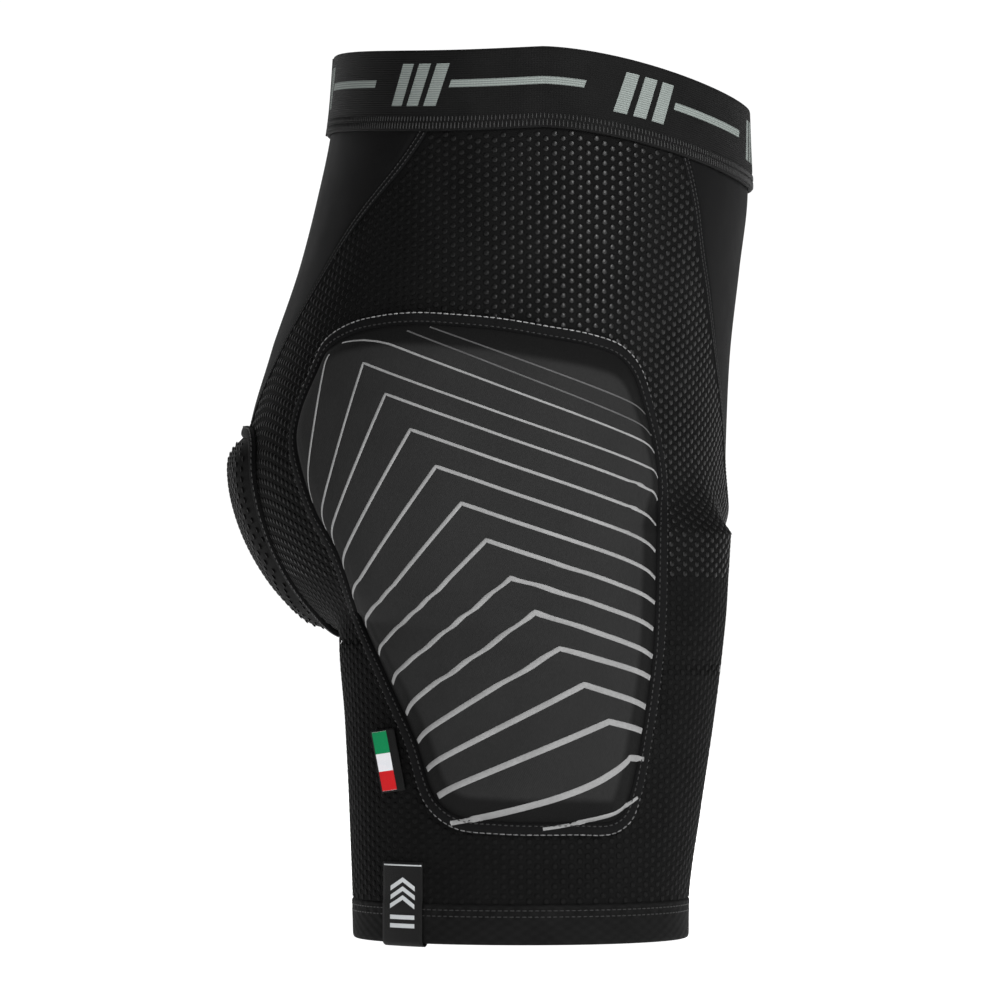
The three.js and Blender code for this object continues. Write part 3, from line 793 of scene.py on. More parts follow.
def band_finish(lap):
    """Woven elastic with a woven-in pattern of slanted bars and a stripe, repeated round the waist."""
    f = Finish("waist_elastic", rough=0.65, specular=0.05)
    u, v = f.uv()
    rib = f.wave(v, 1.15)
    warp = f.wave(u, 0.8)
    weave = f.plus(f.times(rib, 0.6), f.times(warp, 0.4))
    pitch = lap / BAND_REPEATS
    local = f.math("MODULO", f.plus(u, pitch * 50), pitch)
    mark = None
    for start, width, low, high in BAND_BARS:
        lean = f.math("SUBTRACT", local, f.times(v, BAND_LEAN))
        shape = f.times(f.box_test(lean, start, start + width), f.box_test(v, low, high))
        mark = shape if mark is None else f.math("MAXIMUM", mark, shape)
    thread = f.plus(f.times(rib, 0.12), 0.82)
    slow = f.noise(f.place(), 45, 3)
    dark = f.mix(f.plus(f.times(weave, 0.25), slow, clamp=True), grey(0.0028), grey(0.0075))
    light = f.mix(f.plus(f.times(weave, 0.35), 0.5, clamp=True), (0.13, 0.145, 0.138),
                  (0.25, 0.28, 0.265))
    mark = f.times(mark, f.math("GREATER_THAN", f.value("outside"), 0.6))
    f.colour(f.mix(f.times(mark, thread), dark, light))
    f.bump(f.plus(weave, f.times(mark, 0.6)), 0.16, 0.8)
    return f.material


def hem_finish():
    """The turned hem: the dotted fabric seen from its flatter back."""
    f = Finish("hem_fabric", rough=0.7, specular=0.04)
    u, v = f.uv()
    dots = f.crossed(u, v, 8.8, 5.1)
    knit = f.crossed(u, v, 1.1, 1.2)
    slow = f.noise(f.place(), 50, 3)
    f.colour(f.mix(f.plus(f.times(dots, 0.2), slow, clamp=True), grey(0.0028), grey(0.0075)))
    f.bump(f.plus(dots, f.times(knit, 0.35)), 0.22, 0.8)
    return f.material


def pad_finish(name, slope, face, lit_face_from):
    """A pad's cover: matt stretch fabric, with painted light: the flat face is painted lighter than the
    slopes round it, which carry painted shade.
    """
    f = Finish(name, rough=0.75, specular=0.05)
    u, v = f.uv()
    diagonal = f.math("SINE", f.times(f.plus(u, f.times(v, 0.8)), 2 * math.pi / 0.85))
    course = f.wave(v, 0.7)
    weave = f.times(diagonal, course)
    fine = f.noise(f.place(), 600, 3)
    slow = f.noise(f.place(), 32, 3)
    ramp = f.node("ShaderNodeMapRange", interpolation_type="SMOOTHSTEP")
    f.link(f.value("inset"), ramp.inputs["Value"])
    ramp.inputs["From Min"].default_value = lit_face_from - 3
    ramp.inputs["From Max"].default_value = lit_face_from + 1.5
    # painted light: the face tone stands for the lit flat face, the slope tone is painted shade on the slopes
    base = f.mix(ramp.outputs["Result"], grey(slope), grey(face))
    mottle = f.plus(f.times(fine, 0.5), f.times(slow, 0.5))
    f.toned(base, f.plus(f.times(mottle, 0.7), f.plus(f.times(weave, 0.08), 0.65)))
    f.rough(f.plus(f.times(fine, 0.15), 0.64))
    f.bump(f.plus(weave, f.times(fine, 0.8)), 0.07, 0.7)
    return f.material


def print_finish(name, low, high):
    """Printed lines: a slightly rubbery ink with a worn, mottled tone."""
    f = Finish(name, rough=0.55, specular=0.2)
    fine = f.noise(f.place(), 700, 3)
    slow = f.noise(f.place(), 60, 3)
    tone = f.plus(f.times(fine, 0.5), f.times(slow, 0.5))
    f.colour(f.mix(tone, grey(low), grey(high)))
    f.rough(f.plus(f.times(fine, 0.3), 0.4))
    f.bump(fine, 0.08, 0.6)
    return f.material


def foam_finish():
    """Open-cell foam inside the pads."""
    f = Finish("pad_foam", rough=0.85, specular=0.2)
    cells = f.node("ShaderNodeTexVoronoi")
    cells.inputs["Scale"].default_value = 900
    f.link(f.place(), cells.inputs["Vector"])
    f.colour(f.mix(cells.outputs["Distance"], grey(0.03), grey(0.07)))
    f.bump(cells.outputs["Distance"], 0.3, 0.8)
    return f.material


def tab_finish():
    """A woven tab: a dark selvedge, then three bands of colour."""
    f = Finish("tab_weave", rough=0.6, specular=0.06)
    u, v = f.uv()
    weave = f.crossed(u, v, 0.55, 0.5)
    green = f.box_test(v, TAB_LENGTH * 0.62, TAB_LENGTH * 0.97)
    red = f.box_test(v, TAB_LENGTH * 0.03, TAB_LENGTH * 0.34)
    colour = f.mix(green, (0.78, 0.79, 0.82), (0.004, 0.23, 0.08))
    colour = f.mix(red, colour, (0.55, 0.013, 0.016))
    bands = f.times(f.box_test(u, TAB_SELVEDGE, TAB_WIDTH - 0.9), f.box_test(v, 0.9, TAB_LENGTH - 0.9))
    colour = f.mix(bands, grey(0.008), colour)
    f.toned(colour, f.plus(f.times(weave, 0.12), 0.9))
    f.bump(weave, 0.1, 0.7)
    return f.material


def hem_label_finish():
    """A black satin-woven label with a light line and a plain geometric figure."""
    f = Finish("label_weave", rough=0.5, specular=0.08)
    u, v = f.uv()
    weave = f.crossed(u, v, 0.6, 0.45)
    mark = f.times(f.box_test(v, 1.4, 2.1), f.box_test(u, 0.4, LABEL_WIDTH - 0.4))
    middle = f.math("ABSOLUTE", f.math("SUBTRACT", u, LABEL_WIDTH / 2))
    for k in range(3):
        peak = f.math("SUBTRACT", v, f.times(middle, 0.75))
        line = f.times(f.box_test(peak, 8.0 + 4.6 * k, 10.4 + 4.6 * k), f.box_test(middle, -1, 6.2))
        mark = f.math("MAXIMUM", mark, line)
    for k in range(2):
        bar = f.times(f.box_test(v, 27.5 + 4.4 * k, 29.7 + 4.4 * k), f.box_test(middle, -1, 6.2))
        mark = f.math("MAXIMUM", mark, bar)
    colour = f.mix(f.times(mark, f.plus(f.times(weave, 0.15), 0.85)), grey(0.007),
                   (0.55, 0.57, 0.58))
    f.colour(colour)
    f.bump(f.plus(weave, f.times(mark, 0.5)), 0.09, 0.7)
    return f.material


def floor_finish():
    """A white studio floor that lights itself."""
    f = Finish("studio_floor", rough=0.85, specular=0.1)
    f.colour(f.mix(f.noise(f.place(), 3, 2), grey(0.93), grey(0.96)))
    f.shader.inputs["Emission Color"].default_value = (1, 1, 1, 1)
    f.shader.inputs["Emission Strength"].default_value = 1.0
    return f.material


# ---------------------------------------------------------------- measures of the small parts
BAND_REPEATS = 7
BAND_LEAN = 0.35
# The band's pattern: start along the repeat, width, lowest and highest height on the band.
BAND_BARS = [(0.5, 7.5, 13, 35), (11.5, 7.5, 13, 35), (22.5, 7.5, 13, 35), (34, 70, 22.5, 26.5)]
TAB_FRONT = np.array([[75.5, -340], [69.5, -372]], float)    # y, height of the tab's sewn edge
TAB_WIDTH = 15
TAB_FORESHORTENED = 0.76     # the thigh turns away from the side view under the tab
TAB_LENGTH = 32.6
TAB_SELVEDGE = 5
LABEL_WIDTH = 20
LABEL_FRONT = 61
LABEL_TOP = -409

MESH = mesh_finish()
HIP_DOTS = dot_finish("hip_mesh_dots", 0.0024, 0.0055, 0.38, 0.26)
LEG_DOTS = dot_finish("leg_mesh_dots", 0.003, 0.0055, 0.6, 0.02)
KNIT = knit_finish("smooth_knit", 0.0042)
GUSSET = knit_finish("gusset_knit", 0.0042, pitch=1.2)
SEAM = knit_finish("seam_thread", 0.004, pitch=0.7)
STITCH = thread_finish("stitch_thread", 0.014)
BRIGHT_STITCH = thread_finish("border_thread", 0.01, 0.26)
BINDING = knit_finish("binding_fabric", 0.0045, pitch=0.8)
FOAM = foam_finish()


# ---------------------------------------------------------------- body fabric
def raised(p, amount=0.0):
    """Points at a height over the worn fabric, with its unevenness, and their normals."""
    n = normal_at(p)
    return p + n * (relief(p) + amount)[..., None], n


def sheet_over(name, p, node, material):
    """A fabric panel over a grid of surface points, kept in sheets with its points and area."""
    p, n = raised(p)
    piece = shell(name, p, n, 0.0, -FABRIC, arc_uv(p), material, coarse=4, edge_round=0.3)
    sheets.append((ride_as(piece, node), p, float(grid_area(p)) * MM * MM))
    return piece


def grid_area(p):
    """A grid's area, in square millimetres."""
    a, b = np.diff(p, axis=0)[:, :-1], np.diff(p, axis=1)[:-1]
    return np.linalg.norm(np.cross(a, b), axis=-1).sum()


sheets = []
spacing = 3
side_grid = side_panel_grid(-1, spacing)
right_panel = sheet_over("right_side_fabric", side_grid, "right_side_panel", MESH)
left_panel = ride_as(mirrored(right_panel), "left_side_panel")
sheets.append((left_panel, side_grid, sheets[0][2]))

front_grid = middle_panel_grid(FRONT_SEAM, seen_from_front, FRONT_END[1], spacing)
back_grid = middle_panel_grid(BACK_SEAM, seen_from_back, BACK_END[1], spacing)
sheet_over("front_fabric", front_grid, "front_panel", KNIT)
sheet_over("back_fabric", back_grid, "back_panel", KNIT)

rows = int(340 / spacing / 4) * 4
gusset_grid = arch_points(1, np.linspace(0.002, 0.998, rows + 1)[:, None],
                          np.linspace(-ARCH_GUSSET, ARCH_GUSSET, 33)[None, :])
sheet_over("gusset_fabric", gusset_grid, "crotch_gusset", GUSSET)

hip_polygon = smooth_loop(HIP_OUTLINE, 160)
tail_outline = TAIL_OUTLINE + [(-x, z) for x, z in TAIL_OUTLINE[-2:0:-1]]
tail_polygon = smooth_loop(tail_outline, 160)


PAD_SIDE_X = -95             # the right hip pad lies outside this
TAIL_SIDE_Y = 60             # and the tailbone pad behind this


def under_a_pad(p):
    """Whether points lie under the right hip pad or the tailbone pad."""
    by_side = inside_polygon(hip_polygon, p[:, 1], p[:, 2]) & (p[:, 0] < PAD_SIDE_X)
    by_back = inside_polygon(tail_polygon, p[:, 0], p[:, 2]) & (p[:, 1] > TAIL_SIDE_Y)
    return by_side | by_back


def mesh_dots(grid):
    """Dot centres down the arc-length columns of a grid, staggered like a honeycomb."""
    u = arc_uv(grid)[..., 0]
    for row, points in zip(u, grid):
        outer = np.abs(points[:, 0]) > 90
        row -= np.interp(DOT_START_Y, points[outer, 1], row[outer])
    across = DOT_PITCH * math.sqrt(3) / 2
    found = []
    for k in range(int(u.min() / across), int(u.max() / across) + 1):
        line = []
        for i in range(len(grid)):
            if u[i, 0] + 1 < k * across < u[i, -1] - 1:
                line.append([np.interp(k * across, u[i], grid[i, :, c]) for c in range(3)])
        if len(line) < 3:
            continue
        line = np.array(line[::-1])
        along = lengths_along(line)
        at = np.arange(DOT_PITCH * (0.5 if k % 2 else 1.0), along[-1], DOT_PITCH)
        found.append(places_at(at, along, line))
    p = np.concatenate(found)
    p = p[p[:, 2] < band_bottom(p[:, 1]) - 1]
    return settle(p[~under_a_pad(p)])


dots = mesh_dots(side_grid)
DOT_SPLIT = -262
for part, chosen, high, finish in (("hip", dots[:, 2] > DOT_SPLIT, 0.42, HIP_DOTS),
                                   ("leg", dots[:, 2] <= DOT_SPLIT, 0.26, LEG_DOTS)):
    ride_both(lens_dots(f"right_{part}_mesh_dots", *raised(dots[chosen]), high, finish), None)


# ---------------------------------------------------------------- seams
SEAM_PROFILE = np.array([-0.5, 0.15, 0.55, 0.5, 0.25, 0.5, 0.55, 0.15, -0.5])
SEAM_UNDER = 1.2             # how far the seam allowance runs under each panel's edge, and its depth there
SEAM_UNDER_TOP = -0.7
seam_across = np.linspace(-SEAM_HALF, SEAM_HALF, len(SEAM_PROFILE))
seam_across = np.concatenate([[-SEAM_HALF - SEAM_UNDER], seam_across, [SEAM_HALF + SEAM_UNDER]])


def seam_ribbon(node, p):
    """A seam's two-ridge tape over a grid of surface points, with its two rows of stitches."""
    name = f"{node}_tape"
    p, n = raised(p)
    profile = np.pad(SEAM_PROFILE, (p.shape[1] - len(SEAM_PROFILE)) // 2, constant_values=SEAM_UNDER_TOP)
    tops = np.broadcast_to(profile, p.shape[:2])
    middle = p.shape[1] // 2
    ride_both(shell(f"right_{name}", p, n, tops, -1.2, arc_uv(p), SEAM), node)
    along = lengths_along(p[:, middle])
    at = np.arange(1.0, along[-1] - 1, 2.4)
    for row, column in enumerate((middle - 2, middle + 2)):
        line = places_at(at, along, p[:, column])
        up = unit(places_at(at, along, n[:, column]))
        way = unit(np.gradient(line, axis=0))
        row_name = f"right_{name}_stitches_{row + 1}"
        ride_both(beads(row_name, line + up * 0.55, way, up, 1.7, 0.55, 0.45, STITCH), None)


def seam_grid(rows, seen, end):
    """A grid along a seam, from behind the waist elastic to a height."""
    line = seam_points(rows, seen, -1, np.linspace(rows[0, 0], rows[-1, 0], 200), 0.0)
    z = np.linspace(tuck_level(line) + 2, end, 150)[:, None]
    return seam_points(rows, seen, -1, z, np.broadcast_to(seam_across, (150, len(seam_across))))


seam_ribbon("front_seam", seam_grid(FRONT_SEAM, seen_from_front, FRONT_END[1]))
seam_ribbon("back_seam", seam_grid(BACK_SEAM, seen_from_back, BACK_END[1]))
seam_ribbon("gusset_seam", arch_points(-1, np.linspace(0, 1, 180)[:, None],
                                       np.linspace(*ARCH_SEAM, len(SEAM_PROFILE))[None, :]))
seam_ribbon("inseam", inseam_points(-1, np.linspace(INSEAM_TOP + 4, HEM_TOP - 0.8, 70)[:, None],
                                    seam_across[None, :]))


# ---------------------------------------------------------------- waistband
def waist_ring(levels, count):
    """Rings of surface points; each level is a function of y that gives the height."""
    turn = np.arange(count) * 2 * np.pi / count + np.pi / 2
    way = rows_of(np.cos(turn), np.sin(turn), 0)
    rings = []
    for level in levels:
        height = np.full(count, -10.0)
        for _ in range(3):
            p = cross_surface(rows_of(0, 0, height), way)
            height = level(p[:, 1])
        rings.append(p)
    return np.array(rings)


def around(p):
    """UVs of a ring grid: distance round it, and height over its first row."""
    step = np.linalg.norm(np.roll(p, -1, axis=1) - p, axis=-1).mean(0)
    u = np.concatenate([[0], np.cumsum(step)])[:-1]
    rise = np.concatenate([np.zeros((1, p.shape[1])),
                           np.cumsum(np.linalg.norm(np.diff(p, axis=0), axis=-1), axis=0)])
    return np.stack([np.broadcast_to(u, rise.shape), rise], -1), float(step.sum())


RING = 720
heights = np.concatenate([[0, 0.4, 1.2], np.linspace(2.4, BAND_HEIGHT - 2.4, 26), [BAND_HEIGHT - 1.2,
                          BAND_HEIGHT - 0.4, BAND_HEIGHT]])
band = waist_ring([lambda y, h=h: band_bottom(y) + h for h in heights], RING)
band_n = np.broadcast_to(normal_at(band[12])[None], band.shape)
band_uv, band_lap = around(band)
share = heights / BAND_HEIGHT
swell = 2.3 - 0.25 * np.exp(-(((heights - 8.2) / 1.2) ** 2)) + 0.15 * np.sin(share * np.pi)
swell[[0, -1]] -= 0.7
swell[[1, -2]] -= 0.22
ripple = 0.12 * np.sin(band_uv[..., 0] * 2 * np.pi / 2.07) * np.exp(-((heights[:, None] - 5) / 3.5) ** 2)
BAND = band_finish(band_lap)
band_piece = shell("waist_elastic_band", band, band_n, swell[:, None] + ripple, 0.1, band_uv, BAND, wrap=True)
ride_as(band_piece, "waistband")

join_x = np.linspace(-4, 4, 9)
join_z = band_bottom(110.0) + np.linspace(0.3, BAND_HEIGHT - 0.3, 30)
join = np.array([seen_from_back(join_x, z) for z in join_z])
join_top = np.array([2.2, 2.75, 2.9, 2.75, 2.6, 2.75, 2.9, 2.75, 2.2])
join_piece = shell("waist_elastic_join", join, normal_at(join), join_top[None, :], -0.35, arc_uv(join), SEAM)
ride_as(join_piece, None)

tape = waist_ring([lambda y, h=h: band_bottom(y) + h for h in (0.5, 2.0, 4.0, 6.0, 7.5)], 240)
tape_n = np.broadcast_to(normal_at(tape[2])[None], tape.shape)
tape_piece = shell("waist_seam_tape", tape, tape_n, np.array([-3.5, -3.2, -3.4, -3.2, -3.5])[:, None], -4.2,
                   around(tape)[0], SEAM, wrap=True)
ride_as(tape_piece, "waist_seam")


def spaced_round(p, pitch):
    """Points at an even pitch round a closed line, with their distances and the line's own."""
    closed = np.concatenate([p, p[:1]])
    along = lengths_along(closed)
    number = int(along[-1] / pitch)
    at = np.arange(number) * along[-1] / number
    return places_at(at, along, closed), at, along, closed


def coverstitch(name, height, length, width):
    """A row of upright stitches round the waist elastic at a height over its lower edge."""
    centre = spaced_round(waist_ring([lambda y: band_bottom(y) + height], 1440)[0], 2.07)[0]
    n = normal_at(centre)
    way = np.broadcast_to(UPWARD, n.shape)
    ride_as(beads(name, centre + n * 2.5, way, n, length, width, 0.6, STITCH), None)


coverstitch("waist_coverstitch_low", 2.6, 3.2, 0.75)
coverstitch("waist_coverstitch_high", 6.2, 2.6, 0.7)


# ---------------------------------------------------------------- leg hems
def leg_ring(heights, count):
    """Rings of surface points round the right leg."""
    turn = np.arange(count) * 2 * np.pi / count + np.pi
    z = np.asarray(heights, float)[:, None]
    x, y = leg_axis(z)
    start = np.broadcast_to(rows_of(-x, y, z), (len(heights), count, 3))
    return cross_surface(start, rows_of(-np.cos(turn), np.sin(turn), 0)[None])


hem_heights = HEM_Z + np.concatenate([[0, 0.3, 1.0, 2.2], np.linspace(4, HEM_HEIGHT - 3, 8),
                                      [HEM_HEIGHT - 1.8, HEM_HEIGHT - 0.9, HEM_HEIGHT - 0.2]])
hem = leg_ring(hem_heights, 360)
hem_uv = around(hem)[0]
hem, hem_n = raised(hem)
hem_top = np.array([-0.7, -0.1, 0.35, 0.55] + [0.6] * 5 + [0.55, 0.4, 0.35, 0.5, 0.35, -0.3])
pucker = 0.16 * np.sin(hem_uv[..., 0] * 2 * np.pi / 6.4)
pucker = pucker * np.exp(-((hem_heights[:, None] - HEM_TOP + 4) / 4) ** 2)
HEM = hem_finish()
hem_piece = shell("right_hem_fold", hem, hem_n, hem_top[:, None] + pucker, -2.2, hem_uv, HEM, wrap=True)
ride_both(hem_piece, "leg_hem")


def hem_stitches(name, z):
    """A row of stitches round the leg at a height."""
    p = leg_ring([z], 900)[0]
    closed = np.concatenate([p, p[:1]])
    along = lengths_along(closed)
    at = np.arange(int(along[-1] / HEM_STITCH_PITCH)) * HEM_STITCH_PITCH
    centre = places_at(at, along, closed)
    centre, n = raised(centre, amount=0.5)
    way = unit(np.cross(n, UPWARD))
    ride_both(beads(f"right_hem_stitches_{name}", centre, way, n, 2.2, 0.6, 0.5, STITCH), None)


HEM_STITCH_PITCH = 3.2
hem_stitches("upper", HEM_TOP - 3.2)
hem_stitches("lower", HEM_TOP - 6.4)


# ---------------------------------------------------------------- pads
# Height over the fabric against distance from the pad's outer edge, for the hip pads.
BORDER_PROFILE = np.array([[0, 0.2], [0.3, 1.4], [0.9, 2.3], [1.8, 2.7], [3, 2.85], [5.2, 2.8], [6.3, 2.4],
                           [7.2, 1.5]])
COVER_PROFILE = np.array([[6.6, 1.5], [7.2, 1.6], [8, 2.1], [9, 2.9], [11, 4.5], [14, 6.8], [18, 9.2],
                          [21, 10.3], [24, 10.7], [34, 11.0], [60, 11.2], [120, 11.3]])


class Pad:
    """A pad's outline on the surface, and the places and heights of its cover, foam and border."""

    def __init__(self, outline, seen, flat, height, border, cleft, spokes):
        self.seen, self.flat, self.cleft = seen, flat, cleft
        self.height, self.border = height, border
        fine = seen(smooth_loop(outline, spokes * 8))
        self.edge = fine[::8]
        self.tree = KDTree(len(fine))
        for k, q in enumerate(fine):
            self.tree.insert(Vector(q), k)
        self.tree.balance()
        self.centre = self.edge.mean(0)

    def inset(self, distance):
        """The outline moved in along the surface."""
        t = unit(np.roll(self.edge, -2, axis=0) - np.roll(self.edge, 2, axis=0))
        inward = np.cross(pad_normal(self.edge, self.cleft), t)
        inward *= np.sign((inward * (self.centre - self.edge)).sum())
        return settle(self.edge + inward * distance, self.cleft)

    def distance(self, p):
        """Distance from points to the outline."""
        flat = p.reshape(-1, 3)
        return np.array([self.tree.find(Vector(q))[2] for q in flat]).reshape(p.shape[:-1])

    def profile(self, d, border_only=False):
        """Height of the top at a distance from the edge."""
        scale = self.height / HIP_PAD_HEIGHT
        stretch = self.border / PAD_BORDER
        cover = spline(COVER_PROFILE, d / stretch)[..., 0] * scale
        border = spline(BORDER_PROFILE, d / stretch)[..., 0]
        if border_only:
            return border
        return np.where(d < 6.75 * stretch, border, np.maximum(cover, 0.8))

    def top(self, p):
        """The pad's top over surface points, and its normals there."""
        n = pad_normal(p, self.cleft)
        return p + n * self.profile(self.distance(p))[..., None], n

    def border_piece(self, name, material):
        stops = np.array([0, 0.15, 0.4, 0.9, 1.6, 2.6, 3.8, 5, 5.8, 6.4, 6.9, 7.2]) * self.border / PAD_BORDER
        p = np.array([self.inset(d) for d in stops])
        n = pad_normal(p, self.cleft)
        u = lengths_along(self.edge)
        uv = np.stack(np.broadcast_arrays(u[None, :], stops[:, None]), -1)
        return shell(name, p, n, self.profile(stops, True)[:, None], 0.0, uv, material, wrap=True)

    def cover_pieces(self, cover_name, foam_name, cover_material, foam_material):
        ring = self.flat(self.inset(self.border * 0.94))
        middle = ring.mean(0)
        s = np.concatenate([np.linspace(0, 0.3, 30), np.linspace(0.3, 0.97, 25)[1:], [0.99, 0.998, 1]])
        q = middle + (ring - middle)[None] * np.maximum(1 - s, 0.0004)[:, None, None]
        p = self.seen(q.reshape(-1, 2)).reshape(*q.shape[:2], 3)
        p[0] = self.inset(self.border * 0.94)
        n = pad_normal(p, self.cleft)
        d = self.distance(p)
        top = self.profile(np.maximum(d, 6.76 * self.border / PAD_BORDER))
        cover = shell(cover_name, p, n, top, top - 0.7, q, cover_material, wrap=True, values={"inset": d})
        foam = shell(foam_name, p[3:], n[3:], top[3:] - 0.8, 0.1, q[3:], foam_material, wrap=True)
        return cover, foam

    def edge_stitches(self, name, inset, pitch, length, bright, material):
        centre, at, along, closed = spaced_round(self.inset(inset), pitch)
        way = unit(places_at(at + 1, along, closed) - centre)
        n = pad_normal(centre, self.cleft)
        centre = centre + n * (self.profile(np.full(len(at), inset), True)[:, None] + 0.1)
        # each stitch's tone; on the hip pad it is painted highlight and painted shade
        shine, size = bright(self.flat(centre), np.arange(len(at)))
        return beads(name, centre, way, n, length * size, 0.7, 0.6, material, {"bright": shine})


def hip_stitch_highlight(q, k):
    """Each stitch's brightness and size: they show most along the pad's top and least down its front; the
    brightness is painted light, a painted highlight along the top and painted shade down the front.
    """
    top = np.clip((q[:, 1] + 175) / 35, 0, 1)
    low = np.clip((-370 - q[:, 1]) / 20, 0, 1)
    uneven = 0.75 + 0.25 * np.sin(k * 2.4) * np.sin(k * 0.71)
    return (0.04 + 0.96 * np.maximum(top, 0.5 * low)) * uneven, 0.45 + 0.55 * np.maximum(top, low)


def even_shine(shine):
    """Stitches that are all of one brightness and size."""
    return lambda q, k: (np.full(len(q), float(shine)), np.ones(len(q)))


hip = Pad(HIP_OUTLINE, lambda q: seen_from_side(-1, q[:, 0], q[:, 1]), lambda p: p[..., 1:3], HIP_PAD_HEIGHT,
          PAD_BORDER, True, 320)
# The lighter face tone is painted light and the darker slope tone is painted shade.
PAD_COVER = pad_finish("pad_cover_fabric", 0.0052, 0.0155, 19.5)
# Rows of stitches: name, distance from the edge, pitch, length, brightness (painted highlight and shade on
# the outer row).
hip_rows = (("border_stitches", 0.8, 3.4, 2.7, hip_stitch_highlight),
            ("border_inner_stitches", 5.4, 3.0, 1.8, even_shine(0)))
hip_border = hip.border_piece("right_hip_border", BINDING)
hip_cover, hip_foam = hip.cover_pieces("right_hip_cover", "right_hip_core", PAD_COVER, FOAM)
hip_threads = [hip.edge_stitches(f"right_hip_{name}", inset, pitch, length, shine, BRIGHT_STITCH)
               for name, inset, pitch, length, shine in hip_rows]
ride_both(hip_border, "hip_pad_binding")
left_cover = ride_both(hip_cover, "hip_pad_cover")
left_foam = ride_both(hip_foam, "hip_foam")
for row in hip_threads:
    ride_both(row, None)

tail = Pad(tail_outline, lambda q: seen_from_back(q[:, 0], q[:, 1], cleft=False), lambda p: p[..., [0, 2]],
           TAIL_PAD_HEIGHT, 6, False, 240)
# The face and slope tones are painted light and painted shade on one fabric.
TAIL_COVER = pad_finish("tailbone_cover_fabric", 0.007, 0.009, 16)
ride_as(tail.border_piece("tailbone_border", BINDING), "tailbone_pad_binding")
tail_cover, tail_foam = tail.cover_pieces("tailbone_cover", "tailbone_core", TAIL_COVER, FOAM)
ride_as(tail_cover, "tailbone_pad_cover")
ride_as(tail_foam, "tailbone_foam")
tail_row = tail.edge_stitches("tailbone_border_stitches", 0.8, 3.4, 2.4, even_shine(0.12), BRIGHT_STITCH)
ride_as(tail_row, None)

across = DOT_PITCH * math.sqrt(3) / 2
lattice = [(i * across, j * DOT_PITCH + (DOT_PITCH / 2 if i % 2 else 0))
           for i in range(-18, 19) for j in range(-60, -34)]
lattice = np.array([q for q in lattice if inside_polygon(tail_polygon, np.array(q[0]), np.array(q[1]))])
spots = seen_from_back(lattice[:, 0], lattice[:, 1], cleft=False)
spots = spots[tail.distance(spots) > 9]
ride_as(lens_dots("tailbone_cover_dots", *tail.top(spots), 0.42, HIP_DOTS), None)


# ---------------------------------------------------------------- the hip pads' printed lines
LEG_MIDDLE_X = -85
FRONT_MARGIN = 6.9           # how near to the pad's outline a printed line runs, in front and behind
BACK_MARGIN = 8.4


def falling_line(pad, start, forward, fall):
    """Surface points from start towards the pad's front or back edge, falling at an angle to the level."""
    y, z = start
    level_y = y + np.arange(0, 200, 0.5) * (-1 if forward else 1)
    level_y = level_y[field(rows_of(LEG_MIDDLE_X, level_y, z)) < 0]
    level = seen_from_side(-1, level_y, z)
    along = lengths_along(level)
    far = np.arange(0, 230, 1.5)
    flat = rows_of(np.interp(far * math.cos(math.radians(fall)), along, level_y),
                   z - far * math.sin(math.radians(fall)))
    inside = inside_polygon(hip_polygon, flat[:, 0], flat[:, 1])
    flat = flat[:len(far) if inside.all() else int(np.argmin(inside))]
    path = pad.seen(flat)
    close = pad.distance(path) < (FRONT_MARGIN if forward else BACK_MARGIN)
    close[:8] = False
    return path[:int(np.argmax(close)) if close.any() else len(path)]


def printed(pad, path, width):
    """A thin printed line that follows the pad's top under a path."""
    n = pad_normal(path)
    way = unit(np.gradient(path, axis=0))
    side = unit(np.cross(way, n))
    d = pad.distance(path)
    width = width * np.where(d < pad.border, 0.72, 1.0)
    places = np.array([-0.5, -0.4, 0.0, 0.4, 0.5])
    lifts = np.array([-0.05, 0.2, 0.26, 0.2, -0.05])
    base = settle(path[:, None] + side[:, None] * (width[:, None] * places)[..., None], pad.cleft)
    top, n = pad.top(base)
    outer = top + n * lifts[None, :, None]
    inner = outer[:, [4, 0]] - n[:, [4, 0]] * 0.35
    p = np.concatenate([outer, inner], axis=1)
    sides = p.shape[1]
    faces = tube_faces(len(path), sides)
    last = (len(path) - 1) * sides
    faces += [tuple(reversed(range(sides))), tuple(last + k for k in range(sides))]
    flat = p.reshape(-1, 3)
    a, b, c = (flat[i] for i in faces[2][:3])
    if np.dot(np.cross(b - a, c - a), n[0, 2]) < 0:
        faces = [tuple(reversed(f)) for f in faces]
    return flat, faces


def smooth_path(points, count):
    """Points spread along an open path."""
    p = np.array(points, float)
    along = lengths_along(p)
    return spline(np.column_stack([along, p]), np.linspace(0, along[-1], count))


LINES = 12
FRONT_FALL = [20, 20, 20, 20, 20, 20, 20, 20, 17, 18, 13.5, 5.4]       # each line's fall in degrees, in front
TOP_LINES = (((67.7, -136.6), 22), ((57, -134.2), 21))    # where each starts, and its fall
